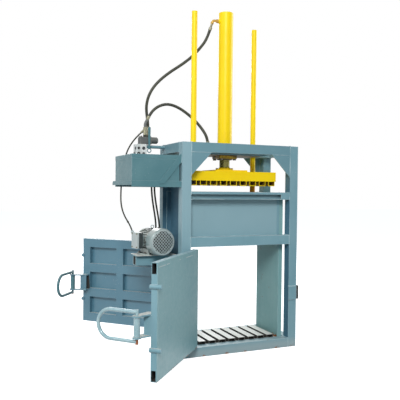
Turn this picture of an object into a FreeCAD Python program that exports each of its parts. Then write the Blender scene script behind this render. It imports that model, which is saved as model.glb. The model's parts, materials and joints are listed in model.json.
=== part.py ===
"""Vertical recycling baler: a welded tube frame around a pressing chamber, a hydraulic
cylinder on the head that pushes a ribbed platen down, a front and a rear door, and a
tank, a motor with its pump and a hand valve hung on the left side.

Millimetres.  +Z up, +X to the right along the front, +Y to the back.  The origin is on
the floor, in the middle of the frame.  Every piece is drawn as it stands in the
photograph: platen up, both doors swung open.
"""
import FreeCAD, Part
import math
import os

os.makedirs("parts", exist_ok=True)

V = FreeCAD.Vector
AXIS_X, AXIS_Y, AXIS_Z = V(1, 0, 0), V(0, 1, 0), V(0, 0, 1)

# ---- frame ------------------------------------------------------------------------
FRAME_WIDTH = 1090.0
FRAME_DEPTH = 550.0
FRAME_HEIGHT = 1760.0
TUBE = 80.0                 # square tube of the posts and beams
TUBE_WALL = 5.0
POST_CAP = 6.0              # plate that closes a post's top
SEAT_GAP = 0.3              # between round or nested pieces that rest in each other
CROSS_BEAM_Z = 904.0        # underside of the beam above each door
GUSSET_REACH = 180.0        # along the beam
GUSSET_DROP = 191.0         # down the post
GUSSET_T = 10.0
GUSSET_INSET = 2.0          # back from the frame's face

# ---- chamber ----------------------------------------------------------------------
SHEET = 5.0                 # chamber walls, feed panels and door skins
FEED_OPENING = 54.0         # chamber's top to the raised platen
WALL_FLANGE = 40.0
RIGHT_WALL_GAP = 60.0       # right chamber wall to the inner side of the posts
RAIL_DEPTH = 40.0
RAIL_HEIGHT = 63.0
RAIL_WALL = 4.8
RAIL_LIP = 20.0             # folded edge that hangs from the feed rail's top
RAIL_STUB = 88.0            # closed box at the feed rail's right end

# ---- slatted floor and platen -----------------------------------------------------
BAR_WIDTH = 63.0            # channel section of the slats
BAR_HEIGHT = 40.0
BAR_WALL = 4.8
BAR_PITCH = 93.0
BAR_COUNT = 9
FLOOR_BEARER = 40.0         # tube on edge under the slats, down to the floor
FLOOR_BEARER_WALL = 3.0
FLOOR_BEARER_TOP = 64.0
FLOOR_BEARER_Y = (-150.0, 0.0, 150.0)
FLOOR_REAR_GAP = 15.0       # slats' ends to the rear base beam
FLOOR_BAR_GAP = 1.0         # slat's end to the front base beam
LEDGE_WIDTH = 42.0          # strip between the last slat and the right wall
LEDGE_T = 6.0
PLATEN_SIDE_GAPS = (10.0, 30.0)     # to the left posts and to the right wall
PLATEN_END_GAP = 10.0
PLATEN_SKIRT = 81.0
PLATEN_WALL = 8.0
PLATEN_DROP = 270.0         # pressing face below the top beams, ram drawn up
CROWN_PLATE = 300.0         # square plate on the platen, under the rod
CROWN_PLATE_T = 14.0

# ---- cylinder and guides ----------------------------------------------------------
BARREL_OD = 127.0
BARREL_ID = 105.0
BARREL_TOP = 2922.0
BARREL_CAP = 20.0
ROD_D = 90.0
RUNNING_GAP = 0.05          # radial clearance of a shaft that slides or turns
PISTON_LENGTH = 60.0
PISTON_TOP_GAP = 20.0
FLANGE_SIDE = 170.0         # square flange that hangs the cylinder from the head
FLANGE_T = 24.0
FLANGE_CORNER = 12.0
FLANGE_BOLT_OFFSET = 65.0
HEAD_PLATE_T = 16.0
HEAD_PLATE_DROP = 10.0      # plate's underside below the top beams
HEAD_SLEEVE_GAP = 6.0       # plate's edge to the left guide's foot plate
HEAD_CHANNEL_WIDTH = 65.0
HEAD_CHANNEL_WALL = 6.0
HEAD_CHANNEL_INSET = 110.0  # channel's near side from the plate's edge
BOSS_LENGTH = 12.0          # hose bosses on the barrel's left side
BOSS_D = 36.0
BOSS_ROOT = 8.0             # boss's depth in the barrel's wall
UPPER_PORT_DROP = 76.0      # below the barrel's top
LOWER_PORT_RISE = 42.0      # above the top beams' underside
GLAND_OD = 136.0
GLAND_RIM = 10.0
GLAND_CHAMFER = 4.0
GLAND_SPIGOT_OD = 104.0
ROD_FLANGE_OD = 155.0
ROD_FLANGE_T = 12.0
ROD_FLANGE_HUB = 24.0       # height of hub and flange together
ROD_HUB_OD = 112.0
ROD_HUB_TAPER = 4.0
BOLT_D = 20.0
BOLT_HOLE_GAP = 1.0         # radial, hole to shank
BOLT_HEAD_AF = 30.0
BOLT_HEAD_H = 13.0
ROD_BOLT_D = 12.0
ROD_BOLT_AF = 18.0
ROD_BOLT_H = 8.0
ROD_BOLT_CIRCLE = 134.0
ROD_BOLTS = 6
GUIDE_OD = 48.0
GUIDE_WALL = 4.0
GUIDE_TOP = 2855.0
GUIDE_LEFT_INSET = 57.0     # from the platen's left side
GUIDE_RIGHT_INSET = 55.0    # from its right side
GUIDE_END_INSET = 41.0      # from its front or rear
GUIDE_STUB = 75.0           # the right guide runs on below the platen
SLEEVE_OD = 62.0
SLEEVE_LENGTH = 74.0
SLEEVE_PLATE_T = 10.0
SLEEVE_PLATE_REACH = 52.0   # plate's edge from the guide's axis

# ---- doors ------------------------------------------------------------------------
DOOR_FOOT_GAP = 20.0        # over the base beam
DOOR_HEAD_GAP = 12.0        # under the cross beam
DOOR_FREE_GAP = 24.0        # free edge to the post
DOOR_SIDE_GAP = 8.0         # hinge edge to the post
DOOR_TUBE_H = 80.0          # rails are 80 x 40 tube lying flat
DOOR_TUBE_D = 40.0
DOOR_TUBE_WALL = 4.0
DOOR_RAILS = 4
STILE_WIDTH = 75.0
MID_STILE_FROM_EDGE = 365.0
MID_STILE_WIDTH = 70.0
PEG_D = 31.0
PEG_BACK = 30.0             # beyond the skin
PEG_FRONT = 8.0             # beyond the outer face
PEG_RISE = 212.0            # lower peg from the door's foot
PEG_DROP = 160.0            # upper peg from its top
FRONT_OPEN = -130.2         # degrees from closed, as photographed
REAR_OPEN = 134.7
HINGE_D = 24.0
HINGE_PIN_D = 12.0
HINGE_HALF = 50.0
HINGE_LEAF = 49.0
HINGE_LEAF_T = 6.0
HINGE_GAP = 0.3             # between the two halves of a barrel
HINGE_INSET = 90.0          # outer hinges from the door's foot and top

# ---- door latches -----------------------------------------------------------------
LATCH_DROP = 20.0           # latch below the door's middle
LATCH_HALF = 65.0           # half of the free height between its plates
LATCH_OUT = 69.0            # pivot from the door's outer face
LATCH_BEYOND = 72.0         # pivot beyond the free edge
LATCH_PLATE_T = 10.0
LATCH_EYE_R = 30.0
LATCH_BOX_W = 65.0
LATCH_BOX_D = 50.0
LATCH_BOX_WALL = 6.0
LATCH_TUBE_D = 42.0
LATCH_PIN_D = 20.0
LATCH_PIN_TIP = 4.0         # pin's ends beyond the grip
LATCH_AXIAL_GAP = 0.4
GRIP_D = 25.0
GRIP_HALF = 97.5            # arms of the D from its middle
GRIP_STRAIGHT = 205.0
FRONT_GRIP_TURN = -8.0      # degrees from square to the door
REAR_GRIP_TURN = -9.0
CATCH_OVERHANG = 6.0        # catch plate beyond the post's inner side
CATCH_WIDTH = 74.0
CATCH_T = 10.0
CATCH_HALF = 60.0
CATCH_LUG = 27.0            # hook plate beyond the post's side
CATCH_LUG_BACK = 5.0        # behind the post's face
CATCH_LUG_DEPTH = 30.0

# ---- tank and its bracket ---------------------------------------------------------
TANK_GAP = 15.0             # tank to the left posts
TANK_WIDTH = 400.0
TANK_Y = (-251.0, 247.0)
TANK_DROP = 110.0           # lid below the frame's top
TANK_HEIGHT = 210.0
TANK_WALL = 4.0
LID_SKIRT = 35.0
LID_STEP = 1.5              # lid stands proud of the tank by this much
BRACKET_T = 5.0
BRACKET_LEG = 49.0
BRACKET_END_LEG = 35.0
BRACKET_FLANGE = 45.0
BRACKET_TAIL_Y = 343.0      # the end angle runs on past the tank
STRUT_T = 6.0
STRUT_HEAD = (-56.0, 22.0)  # strut's end on the post, from the lid's height
STRUT_FOOT = (-170.0, -128.0)       # strut's foot from the tank's right side
STRUT_FOOT_DROP = 22.0

# ---- motor and pump ---------------------------------------------------------------
MOTOR_OUT = 145.0           # middle of the motor's feet from the frame's side
MOTOR_BACK = 40.0           # and behind the frame's middle
MOTOR_TURN = 10.0           # degrees, its front looks a little to the right
MOTOR_BEAM_TOP = 818.0
MOTOR_BEAM_Y = -13.0        # front side of the beam under the motor
MOTOR_BEAM_LENGTH = 305.0
SIDE_RAIL_DEPTH = 40.0
BASE_PLATE_T = 8.0          # plate on the beam, under the motor's feet
BASE_PLATE_Y = (-49.0, 135.0)
MOTOR_SHAFT_H = 112.0       # shaft above the feet
MOTOR_BODY_R = 92.0
MOTOR_FIN_R = 102.0
MOTOR_FINS = 30
MOTOR_FIN_T = 4.0
MOTOR_FIN_ROOT = 4.0        # depth in the drum
MOTOR_Y = (-50.0, 130.0)
MOTOR_FOOT_HALF = 108.0     # outer edge of a foot from the shaft
MOTOR_FOOT_WIDTH = 46.0
MOTOR_FOOT_T = 12.0
MOTOR_FOOT_Y = (-30.0, 110.0)
MOTOR_FOOT_WEB = 12.0
MOTOR_WEB_DROP = 55.0       # web's top below the shaft
MOTOR_SHAFT_D = 28.0
END_SHIELD_T = 14.0
FAN_SOCKET = 40.0           # depth of the shaft's bore in the housing
COWL_R = 113.0
COWL_WALL = 2.5
COWL_Y = -150.0
COWL_LAP = 10.0             # cowl over the body's front
COWL_ROUND = 14.0
COWL_SEAT_W = 16.0
COWL_SEAT_ROOT = 0.5
GRILLE_R = 94.0
GRILLE_PITCH = 19.0
GRILLE_HOLE = 14.0
GRILLE_LEAST = 0.3          # a cut cell smaller than this share stays closed
FAN_R = 92.0
FAN_BLADES = 6
FAN_BLADE_T = 4.0
FAN_DEPTH = 30.0
FAN_GAP = 10.0              # behind the grille
FAN_HUB_R = 24.0
FAN_HUB_ROOT = 4.0
FAN_DISC_R = 86.0
TERMINAL_OUT = (115.0, 167.0)   # from the shaft, to the left
TERMINAL_LENGTH = 104.0
TERMINAL_Z = (882.0, 1012.0)
TERMINAL_NECK_END = 15.0    # neck's ends, foot and top inside the box's
TERMINAL_NECK_FOOT = 20.0
TERMINAL_NECK_TOP = 30.0
TERMINAL_NECK_REACH = 74.0  # neck's inner side from the shaft
TERMINAL_COVER = 14.0
TERMINAL_LIP = 3.0          # cover beyond the box
TERMINAL_ROUND = 10.0
GLAND_LENGTH = 40.0
GLAND_D = 21.0
GLAND_NUT = (26.0, 10.0, 6.0)   # across flats, height, from the cable's end
VALVE_GLAND_LENGTH = 30.0
EYEBOLT_ROOT = 4.0
EYEBOLT_RING = 13.0         # to the middle of the wire
EYEBOLT_WIRE = 3.5
BELL_R = 80.0
BELL_SMALL_R = 60.0
BELL_LENGTH = 60.0
BELL_FLANGE_T = 10.0
BELL_NOSE = 12.0
PUMP_WIDTH = 92.0
PUMP_HEIGHT = 104.0
PUMP_LENGTH = 78.0
PUMP_ROUND = 12.0
PUMP_ELBOW_DROP = 32.0      # from a hose's end to the port's height
TANK_FITTING_AF = 25.6
TANK_FITTING_NUT = 14.0
TANK_FITTING_WALL = 1.0     # pump elbow outside the hose's size

# ---- valve on the tank ------------------------------------------------------------
VALVE_Y = 160.0
MANIFOLD_OUT = 162.0        # its right side from the tank's right side
MANIFOLD_WIDTH = 90.0
MANIFOLD_HALF = 45.0
MANIFOLD_HEIGHT = 108.0
MANIFOLD_CHAMFER = 4.0
VALVE_OUT = 112.0           # its right side from the tank's right side
VALVE_WIDTH = 105.0
VALVE_HEIGHT = 62.0
VALVE_HALF = 38.0
VALVE_ROUND = 8.0
SPOOL_DROP = 26.0           # spool's axis below the valve's top
CAP_LENGTH = 62.0
CAP_R = 29.0
CAP_TAPER = (8.0, 10.0)     # radial and along the axis
ARM_D = 28.0
ARM_DROP = 22.0             # arm's axis below the frame's top
LEVER_INSET = 30.0          # lever's pin from the valve's right side
LEVER_WIDTH = 22.0
LEVER_FOOT_WIDTH = 15.4
LEVER_T = 6.0
LEVER_RISE = 111.0          # lever's tip above its pin
LEVER_FALL = 91.0           # ring's middle below the pin
LEVER_RING_R = 16.0
LEVER_WIRE = 4.0
LEVER_STAND_OFF = 12.0      # lever's back face to the valve's front
LEVER_GAP = 0.5
LEVER_PIN_D = 10.0
LEVER_PIN_DEPTH = 20.0
LEVER_PIN_END_GAP = 1.0
PORT_A_INSET = 58.0         # riser's axis from the valve's right side
PORT_R = 15.0
PORT_NUT_AF = 30.0
PORT_NUT_H = 18.0
PORT_TOP_NUT_H = 22.0
PORT_ELBOW_ROOT = 5.0       # elbow's start inside the riser
PORT_A_RISE = 82.0          # riser above the valve
STEM_LENGTH = 62.0          # swaged end of the upper hose
STEM_SOCKET = 26.0
STEM_D = 19.0
SOCKET_D = 29.0
PORT_PIPE_D = 24.0
CYLINDER_ELBOW_D = 22.0
CYLINDER_NUT_H = 16.0
STEM_NUT_AF = 26.0
STEM_NUT_H = 14.0
ELBOW_SHARE = 0.45          # share of a run that a bend may take
PIPE_SHARE = 0.4

# ---- hoses and the motor's cable --------------------------------------------------
HOSE_D = 25.0
TANK_HOSE_D = 16.0
CABLE_D = 13.0

# ---- worked out from the sizes above ----------------------------------------------
HALF_W = FRAME_WIDTH / 2
HALF_D = FRAME_DEPTH / 2
POST_IN_X = HALF_W - TUBE           # inner faces of the posts
POST_IN_Y = HALF_D - TUBE
TOP_BEAM_Z = FRAME_HEIGHT - TUBE
PLATEN_Z = TOP_BEAM_Z - PLATEN_DROP
WALL_TOP = PLATEN_Z - FEED_OPENING
RIGHT_WALL_X = POST_IN_X - RIGHT_WALL_GAP
PLATEN_X = (-POST_IN_X + PLATEN_SIDE_GAPS[0], RIGHT_WALL_X - PLATEN_SIDE_GAPS[1])
PLATEN_Y = (-POST_IN_Y + PLATEN_END_GAP, POST_IN_Y - PLATEN_END_GAP)
PRESS_X = (PLATEN_X[0] + PLATEN_X[1]) / 2   # cylinder's axis, over the middle of the platen
GUIDE_LEFT = (PLATEN_X[0] + GUIDE_LEFT_INSET, PLATEN_Y[0] + GUIDE_END_INSET)
GUIDE_RIGHT = (PLATEN_X[1] - GUIDE_RIGHT_INSET, PLATEN_Y[1] - GUIDE_END_INSET)
GUIDE_RIGHT_FOOT = PLATEN_Z - GUIDE_STUB
UPPER_PORT_Z = BARREL_TOP - UPPER_PORT_DROP
LOWER_PORT_Z = TOP_BEAM_Z + LOWER_PORT_RISE
CROSS_BEAM_TOP = CROSS_BEAM_Z + TUBE
FLOOR_TOP = FLOOR_BEARER_TOP + BAR_HEIGHT
BAR_CENTRES = [PRESS_X + BAR_PITCH * (i - (BAR_COUNT - 1) / 2) for i in range(BAR_COUNT)]
PLATEN_BOX_Z = PLATEN_Z + BAR_HEIGHT
PLATEN_TOP = PLATEN_BOX_Z + PLATEN_SKIRT
CROWN_TOP = PLATEN_TOP + CROWN_PLATE_T
ROD_FOOT = CROWN_TOP + ROD_FLANGE_HUB
HEAD_PLATE_HALF = PRESS_X - GUIDE_LEFT[0] - SLEEVE_PLATE_REACH - HEAD_SLEEVE_GAP
HEAD_CHANNEL_X = HEAD_PLATE_HALF - HEAD_CHANNEL_INSET
HEAD_PLATE_Z = TOP_BEAM_Z - HEAD_PLATE_DROP
HEAD_PLATE_TOP = HEAD_PLATE_Z + HEAD_PLATE_T
FLANGE_Z = HEAD_PLATE_Z - FLANGE_T
PISTON_TOP = BARREL_TOP - BARREL_CAP - PISTON_TOP_GAP
DOOR_X = -POST_IN_X + DOOR_SIDE_GAP
DOOR_EDGE = POST_IN_X - DOOR_FREE_GAP
DOOR_BOTTOM = TUBE + DOOR_FOOT_GAP
DOOR_TOP = CROSS_BEAM_Z - DOOR_HEAD_GAP
DOOR_MIDDLE = (DOOR_BOTTOM + DOOR_TOP) / 2
PEG_Z = (DOOR_BOTTOM + PEG_RISE, DOOR_TOP - PEG_DROP)
HINGE_Z = (DOOR_BOTTOM + HINGE_INSET, DOOR_MIDDLE, DOOR_TOP - HINGE_INSET)
LATCH_Z = DOOR_MIDDLE - LATCH_DROP
DOOR_SKIN_Y = -HALF_D + DOOR_TUBE_D
HINGE_X = -POST_IN_X + DOOR_SIDE_GAP / 2
HINGE_Y = HALF_D + HINGE_D / 2
LATCH_X = DOOR_EDGE + LATCH_BEYOND
LATCH_Y = -HALF_D - LATCH_OUT
CATCH_X = (POST_IN_X - CATCH_OVERHANG, POST_IN_X - CATCH_OVERHANG + CATCH_WIDTH)
TANK_X = (-HALF_W - TANK_GAP - TANK_WIDTH, -HALF_W - TANK_GAP)
TANK_Z = (FRAME_HEIGHT - TANK_DROP - TANK_HEIGHT, FRAME_HEIGHT - TANK_DROP)
MANIFOLD_X = (TANK_X[1] - MANIFOLD_OUT - MANIFOLD_WIDTH, TANK_X[1] - MANIFOLD_OUT)
MANIFOLD_TOP = TANK_Z[1] + MANIFOLD_HEIGHT
VALVE_X = (TANK_X[1] - VALVE_OUT - VALVE_WIDTH, TANK_X[1] - VALVE_OUT)
VALVE_TOP = MANIFOLD_TOP + VALVE_HEIGHT
SPOOL_Z = VALVE_TOP - SPOOL_DROP
CAP_X = (VALVE_X[1], VALVE_X[1] + CAP_LENGTH)
ARM_Z = FRAME_HEIGHT - ARM_DROP
LEVER_X = VALVE_X[1] - LEVER_INSET
LEVER_TOP = SPOOL_Z + LEVER_RISE
LEVER_RING_Z = SPOOL_Z - LEVER_FALL
PORT_A_X = VALVE_X[1] - PORT_A_INSET
PORT_A_TOP = VALVE_TOP + PORT_A_RISE
MOTOR_BEAM_END = -HALF_W - MOTOR_BEAM_LENGTH
MOTOR_PIVOT = (-HALF_W - MOTOR_OUT, MOTOR_BACK)
MOTOR_X = MOTOR_PIVOT[0]
MOTOR_Z = MOTOR_BEAM_TOP + BASE_PLATE_T + MOTOR_SHAFT_H
SHIELD_FACE = MOTOR_Y[0] - END_SHIELD_T
TERMINAL_X = (MOTOR_X - TERMINAL_OUT[1], MOTOR_X - TERMINAL_OUT[0])
TERMINAL_Y = (MOTOR_PIVOT[1] - TERMINAL_LENGTH / 2, MOTOR_PIVOT[1] + TERMINAL_LENGTH / 2)
BELL_Y = MOTOR_Y[1] + END_SHIELD_T
PUMP_Y = BELL_Y + BELL_LENGTH

# ---- routes of the hoses and the motor's cable, from the pieces that they join --------
def routed(place, points):
    """Route points; their x and z are given from a piece's own place."""
    return [(place[0] + x, y, place[1] + z) for x, y, z in points]


CYLINDER_TOP = (PRESS_X, UPPER_PORT_Z)
CYLINDER_FOOT = (PRESS_X, LOWER_PORT_Z)
VALVE_PLACE = (TANK_X[1], VALVE_TOP)
TANK_FOOT = (TANK_X[1], TANK_Z[0])
PUMP_PLACE = (MOTOR_X, MOTOR_Z)
HOSE_UPPER = (routed(CYLINDER_TOP, [(-156, 0, -89), (-183, 0, -168), (-232, 20, -242),
                                    (-305, 39, -326), (-392, 56, -397), (-482, 70, -459),
                                    (-565, 82, -526), (-632, 95, -600)])
              + routed(VALVE_PLACE, [(-151, 114, 348), (-161, 142, 268), (-147, 170, 194),
                                     (-131, 180, 125), (-131, 180, 58)]))
HOSE_LOWER = (routed(VALVE_PLACE, [(-152, 140, 148), (-130, 140, 190), (-92, 137, 242),
                                   (-34, 127, 280), (33, 112, 292)])
              + routed(CYLINDER_FOOT, [(-409, 96, 366), (-330, 80, 316), (-260, 58, 253),
                                       (-204, 26, 178), (-168, 0, 104), (-160, 0, 38)]))
SUCTION_HOSE = (routed(TANK_FOOT, [(-94, 180, -14), (-94, 180, -75), (-83, 190, -150),
                                   (-66, 202, -230)])
                + routed(PUMP_PLACE, [(83, 216, 192), (97, 231, 117), (100, 242, 52)]))
RETURN_HOSE = (routed(TANK_FOOT, [(-68, 180, -14), (-68, 180, -75), (-58, 184, -150),
                                  (-42, 190, -230)])
               + routed(PUMP_PLACE, [(106, 197, 192), (120, 205, 117), (125, 213, 47),
                                     (124, 219, -8)]))
MOTOR_CABLE = (routed(VALVE_PLACE, [(-192, 175, 40), (-216, 205, 12), (-245, 240, -30),
                                    (-278, 268, -90)])
               + routed(TANK_FOOT, [(-304, 286, 210), (-322, 292, 120), (-332, 291, 20),
                                    (-339, 282, -80)])
               + routed(PUMP_PLACE, [(-216, 262, 332), (-213, 228, 258), (-203, 180, 202),
                                     (-190, 130, 160), (-177, 92, 122), (-168, 72, 84)]))


# ---- helpers ----------------------------------------------------------------------
def block(x, y, z):
    """Box from three (low, high) pairs."""
    return Part.makeBox(x[1] - x[0], y[1] - y[0], z[1] - z[0], V(x[0], y[0], z[0]))


def bar(radius, start, direction, length):
    """Round bar from a start point along a direction."""
    return Part.makeCylinder(radius, length, V(*start), V(*direction))


def square_tube(axis, x, y, z, wall):
    """Rectangular tube, open at both ends of the named axis."""
    def shrink(name, pair):
        return pair if name == axis else (pair[0] + wall, pair[1] - wall)
    bore = block(shrink("x", x), shrink("y", y), shrink("z", z))
    return block(x, y, z).cut(bore)


def prism(points, direction):
    """Closed outline of 3-D points, pushed along a direction."""
    loop = [V(*p) for p in points]
    return Part.Face(Part.makePolygon(loop + loop[:1])).extrude(V(*direction))


def hexagon(centre, across_flats, height, direction=AXIS_Z):
    """Hexagonal nut or bolt head that stands on its centre point."""
    radius = across_flats / math.sqrt(3)
    loop = [V(radius * math.cos(math.radians(60 * i)), radius * math.sin(math.radians(60 * i)), 0)
            for i in range(7)]
    head = Part.Face(Part.makePolygon(loop)).extrude(V(0, 0, height))
    head.Placement = FreeCAD.Placement(V(*centre), FreeCAD.Rotation(AXIS_Z, V(*direction)))
    return head


def revolve(profile, centre, direction):
    """Turned piece: (radius, height) outline about an axis through the centre."""
    loop = [V(r, 0, h) for r, h in profile]
    turned = Part.Face(Part.makePolygon(loop + loop[:1])).revolve(V(0, 0, 0), AXIS_Z, 360)
    turned.Placement = FreeCAD.Placement(V(*centre), FreeCAD.Rotation(AXIS_Z, V(*direction)))
    return turned


def union(shapes):
    """All shapes as one solid, without the seams between flush faces."""
    return shapes[0].multiFuse(shapes[1:]).removeSplitter()


def save(name, *shapes):
    """Writes one sub-part; several shapes stay separate solids of the same file."""
    solids = [solid for shape in shapes for solid in shape.Solids]
    result = solids[0] if len(solids) == 1 else Part.makeCompound(solids)
    if not result.isValid() or min(s.Volume for s in solids) <= 0:
        print("CHECK", name, "is not a sound solid")
    result.exportStep("parts/" + name + ".step")
    print(f"{name}: {len(solids)} solid(s), {sum(s.Volume for s in solids) / 1000:.0f} cm3")


def mirrored(shape):
    """The same piece on the rear side of the frame."""
    return shape.mirror(V(0, 0, 0), AXIS_Y)


def tube_path(points, share=ELBOW_SHARE):
    """Straight runs joined by tangent arcs, as one wire, and the arcs' radii."""
    places = [V(*p) for p in points]
    edges, radii, at = [], [], places[0]
    for before, corner, after in zip(places, places[1:], places[2:]):
        come = (before - corner).normalize()
        go = (after - corner).normalize()
        half_turn = (math.pi - come.getAngle(go)) / 2
        setback = share * min((before - corner).Length, (after - corner).Length)
        radius = setback / math.tan(half_turn)
        start, end = corner + come * setback, corner + go * setback
        bisector = (come + go).normalize()
        to_arc = radius / math.cos(half_turn) - radius
        edges.append(Part.LineSegment(at, start).toShape())
        edges.append(Part.Arc(start, corner + bisector * to_arc, end).toShape())
        radii.append(radius)
        at = end
    edges.append(Part.LineSegment(at, places[-1]).toShape())
    return Part.Wire(edges), radii


def pipe(points, diameter, share=ELBOW_SHARE):
    """Round bar or hose along a path of points."""
    path, radii = tube_path(points, share)
    start = V(*points[0])
    ring = Part.Wire(Part.makeCircle(diameter / 2, start, V(*points[1]) - start))
    return path.makePipeShell([ring], True, False), path, radii


def cord(name, points, diameter):
    """A hose or cable as a sub-part, with its bends and its volume printed."""
    solid, path, radii = pipe(points, diameter)
    ideal = math.pi * diameter ** 2 / 4 * path.Length
    bends = ", ".join(f"{r:.0f}" for r in radii)
    print(f"{name}: length {path.Length:.0f}, bend radii {bends}, "
          f"volume / ideal {solid.Volume / ideal:.4f}")
    save(name, solid)


def heading(points, at_end=False):
    """Direction in which a path leaves its first point, or arrives at its last."""
    a, b = (points[-2], points[-1]) if at_end else (points[0], points[1])
    return (V(*b) - V(*a)).normalize()


# ---- frame ------------------------------------------------------------------------
def post(side_x, side_y):
    """Corner post: full-height square tube with its top closed."""
    x = sorted((side_x * POST_IN_X, side_x * HALF_W))
    y = sorted((side_y * POST_IN_Y, side_y * HALF_D))
    bore_x = (x[0] + TUBE_WALL, x[1] - TUBE_WALL)
    bore_y = (y[0] + TUBE_WALL, y[1] - TUBE_WALL)
    return block(x, y, (0, FRAME_HEIGHT)).cut(block(bore_x, bore_y, (0, FRAME_HEIGHT - POST_CAP)))


def hinge_half_on_post(z):
    """Fixed half of a barrel hinge: leaf on the post, lower barrel and its pin."""
    leaf = block((HINGE_X - HINGE_LEAF, HINGE_X), (-HALF_D - HINGE_LEAF_T, -HALF_D),
                 (z - HINGE_HALF, z))
    barrel = bar(HINGE_D / 2, (HINGE_X, -HINGE_Y, z - HINGE_HALF), AXIS_Z, HINGE_HALF)
    pin = bar(HINGE_PIN_D / 2, (HINGE_X, -HINGE_Y, z - HINGE_HALF), AXIS_Z,
              2 * HINGE_HALF - HINGE_GAP)
    return [leaf, barrel, pin]


def catch_plate():
    """Strike plate on the front of a right post, with the hook plate at its side."""
    z = (LATCH_Z - CATCH_HALF, LATCH_Z + CATCH_HALF)
    lug_y = -HALF_D + CATCH_LUG_BACK
    face = block(CATCH_X, (-HALF_D - CATCH_T, -HALF_D), z)
    lug = block((HALF_W, HALF_W + CATCH_LUG), (lug_y, lug_y + CATCH_LUG_DEPTH), z)
    return [face, lug]


def posts():
    """Four posts: the left ones carry the fixed hinge halves, the right ones a catch."""
    hinges = [piece for z in HINGE_Z for piece in hinge_half_on_post(z)]
    left = union([post(-1, -1)] + hinges)
    right = union([post(1, -1)] + catch_plate())
    save("post_front_left", left)
    save("post_rear_left", mirrored(left))
    save("post_front_right", right)
    save("post_rear_right", mirrored(right))


def gusset(side):
    """Triangular corner plate under a top beam."""
    x, reach = side * POST_IN_X, side * (POST_IN_X - GUSSET_REACH)
    y = -HALF_D + GUSSET_INSET
    return prism([(x, y, TOP_BEAM_Z), (reach, y, TOP_BEAM_Z), (x, y, TOP_BEAM_Z - GUSSET_DROP)],
                 (0, GUSSET_T, 0))


def beams():
    """Square tubes butted between the posts, at the floor, above the doors and on top."""
    long_x, front_y = (-POST_IN_X, POST_IN_X), (-HALF_D, -POST_IN_Y)
    left_x, long_y = (-HALF_W, -POST_IN_X), (-POST_IN_Y, POST_IN_Y)
    top_z = (TOP_BEAM_Z, FRAME_HEIGHT)
    base = square_tube("x", long_x, front_y, (0, TUBE), TUBE_WALL)
    cross = square_tube("x", long_x, front_y, (CROSS_BEAM_Z, CROSS_BEAM_TOP), TUBE_WALL)
    top = square_tube("x", long_x, front_y, top_z, TUBE_WALL)
    top = union([top, gusset(-1), gusset(1)])
    for name, beam in (("base_beam", base), ("cross_beam", cross), ("top_beam", top)):
        save(name + "_front", beam)
        save(name + "_rear", mirrored(beam))
    for name, z, extra in (("base_beam", (0, TUBE), []), ("top_beam", top_z, [valve_arm()])):
        side_beam = square_tube("y", left_x, long_y, z, TUBE_WALL)
        save(name + "_left", union([side_beam] + extra) if extra else side_beam)
        save(name + "_right", side_beam.mirror(V(0, 0, 0), AXIS_X))


def valve_arm():
    """Round arm from the left top beam that steadies the valve's manifold."""
    return bar(ARM_D / 2, (MANIFOLD_X[1], VALVE_Y, ARM_Z), AXIS_X, -HALF_W - MANIFOLD_X[1])


# ---- chamber ----------------------------------------------------------------------
def feed_rail():
    """Lipped channel across the feed opening, boxed in at its right end."""
    y = (-HALF_D, -HALF_D + RAIL_DEPTH)
    z = (WALL_TOP - RAIL_HEIGHT, WALL_TOP)
    inner_x = POST_IN_X - RAIL_STUB
    stub = square_tube("x", (inner_x, POST_IN_X), y, z, RAIL_WALL)
    span = (-POST_IN_X, inner_x)
    web = block(span, (y[1] - RAIL_WALL, y[1]), z)
    top = block(span, y, (z[1] - RAIL_WALL, z[1]))
    bottom = block(span, y, (z[0], z[0] + RAIL_WALL))
    lip = block(span, (y[0], y[0] + RAIL_WALL), (z[1] - RAIL_LIP, z[1]))
    return union([stub, web, top, bottom, lip])


def feed_panel():
    """Sheet that closes the chamber above a door, up to the feed opening."""
    return block((-POST_IN_X, RIGHT_WALL_X), (-POST_IN_Y - SHEET, -POST_IN_Y),
                 (CROSS_BEAM_TOP, WALL_TOP))


def folded_wall(face_x, outward, foot):
    """Chamber side: sheet with its front and rear edges folded outward."""
    back_x = face_x + outward * SHEET
    flange_x = sorted((face_x, back_x + outward * (WALL_FLANGE - SHEET)))
    z = (foot, WALL_TOP)
    sheet = block(sorted((face_x, back_x)), (-POST_IN_Y, POST_IN_Y), z)
    front = block(flange_x, (-POST_IN_Y, -POST_IN_Y + SHEET), z)
    return union([sheet, front, mirrored(front)])


def chamber():
    """Feed rails and panels front and rear, and the two folded side walls."""
    for name, piece in (("feed_rail", feed_rail()), ("feed_panel", feed_panel())):
        save(name + "_front", piece)
        save(name + "_rear", mirrored(piece))
    save("chamber_wall_left", folded_wall(-POST_IN_X, -1, TUBE))
    save("chamber_wall_right", folded_wall(RIGHT_WALL_X, 1, FLOOR_BEARER_TOP))


# ---- slats ------------------------------------------------------------------------
def slat(centre_x, y, z, web_up):
    """Channel-section slat along Y, with its web on top or underneath."""
    x = (centre_x - BAR_WIDTH / 2, centre_x + BAR_WIDTH / 2)
    hollow_z = (z, z + BAR_HEIGHT - BAR_WALL) if web_up else (z + BAR_WALL, z + BAR_HEIGHT)
    hollow = block((x[0] + BAR_WALL, x[1] - BAR_WALL), y, hollow_z)
    return block(x, y, (z, z + BAR_HEIGHT)).cut(hollow)


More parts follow.
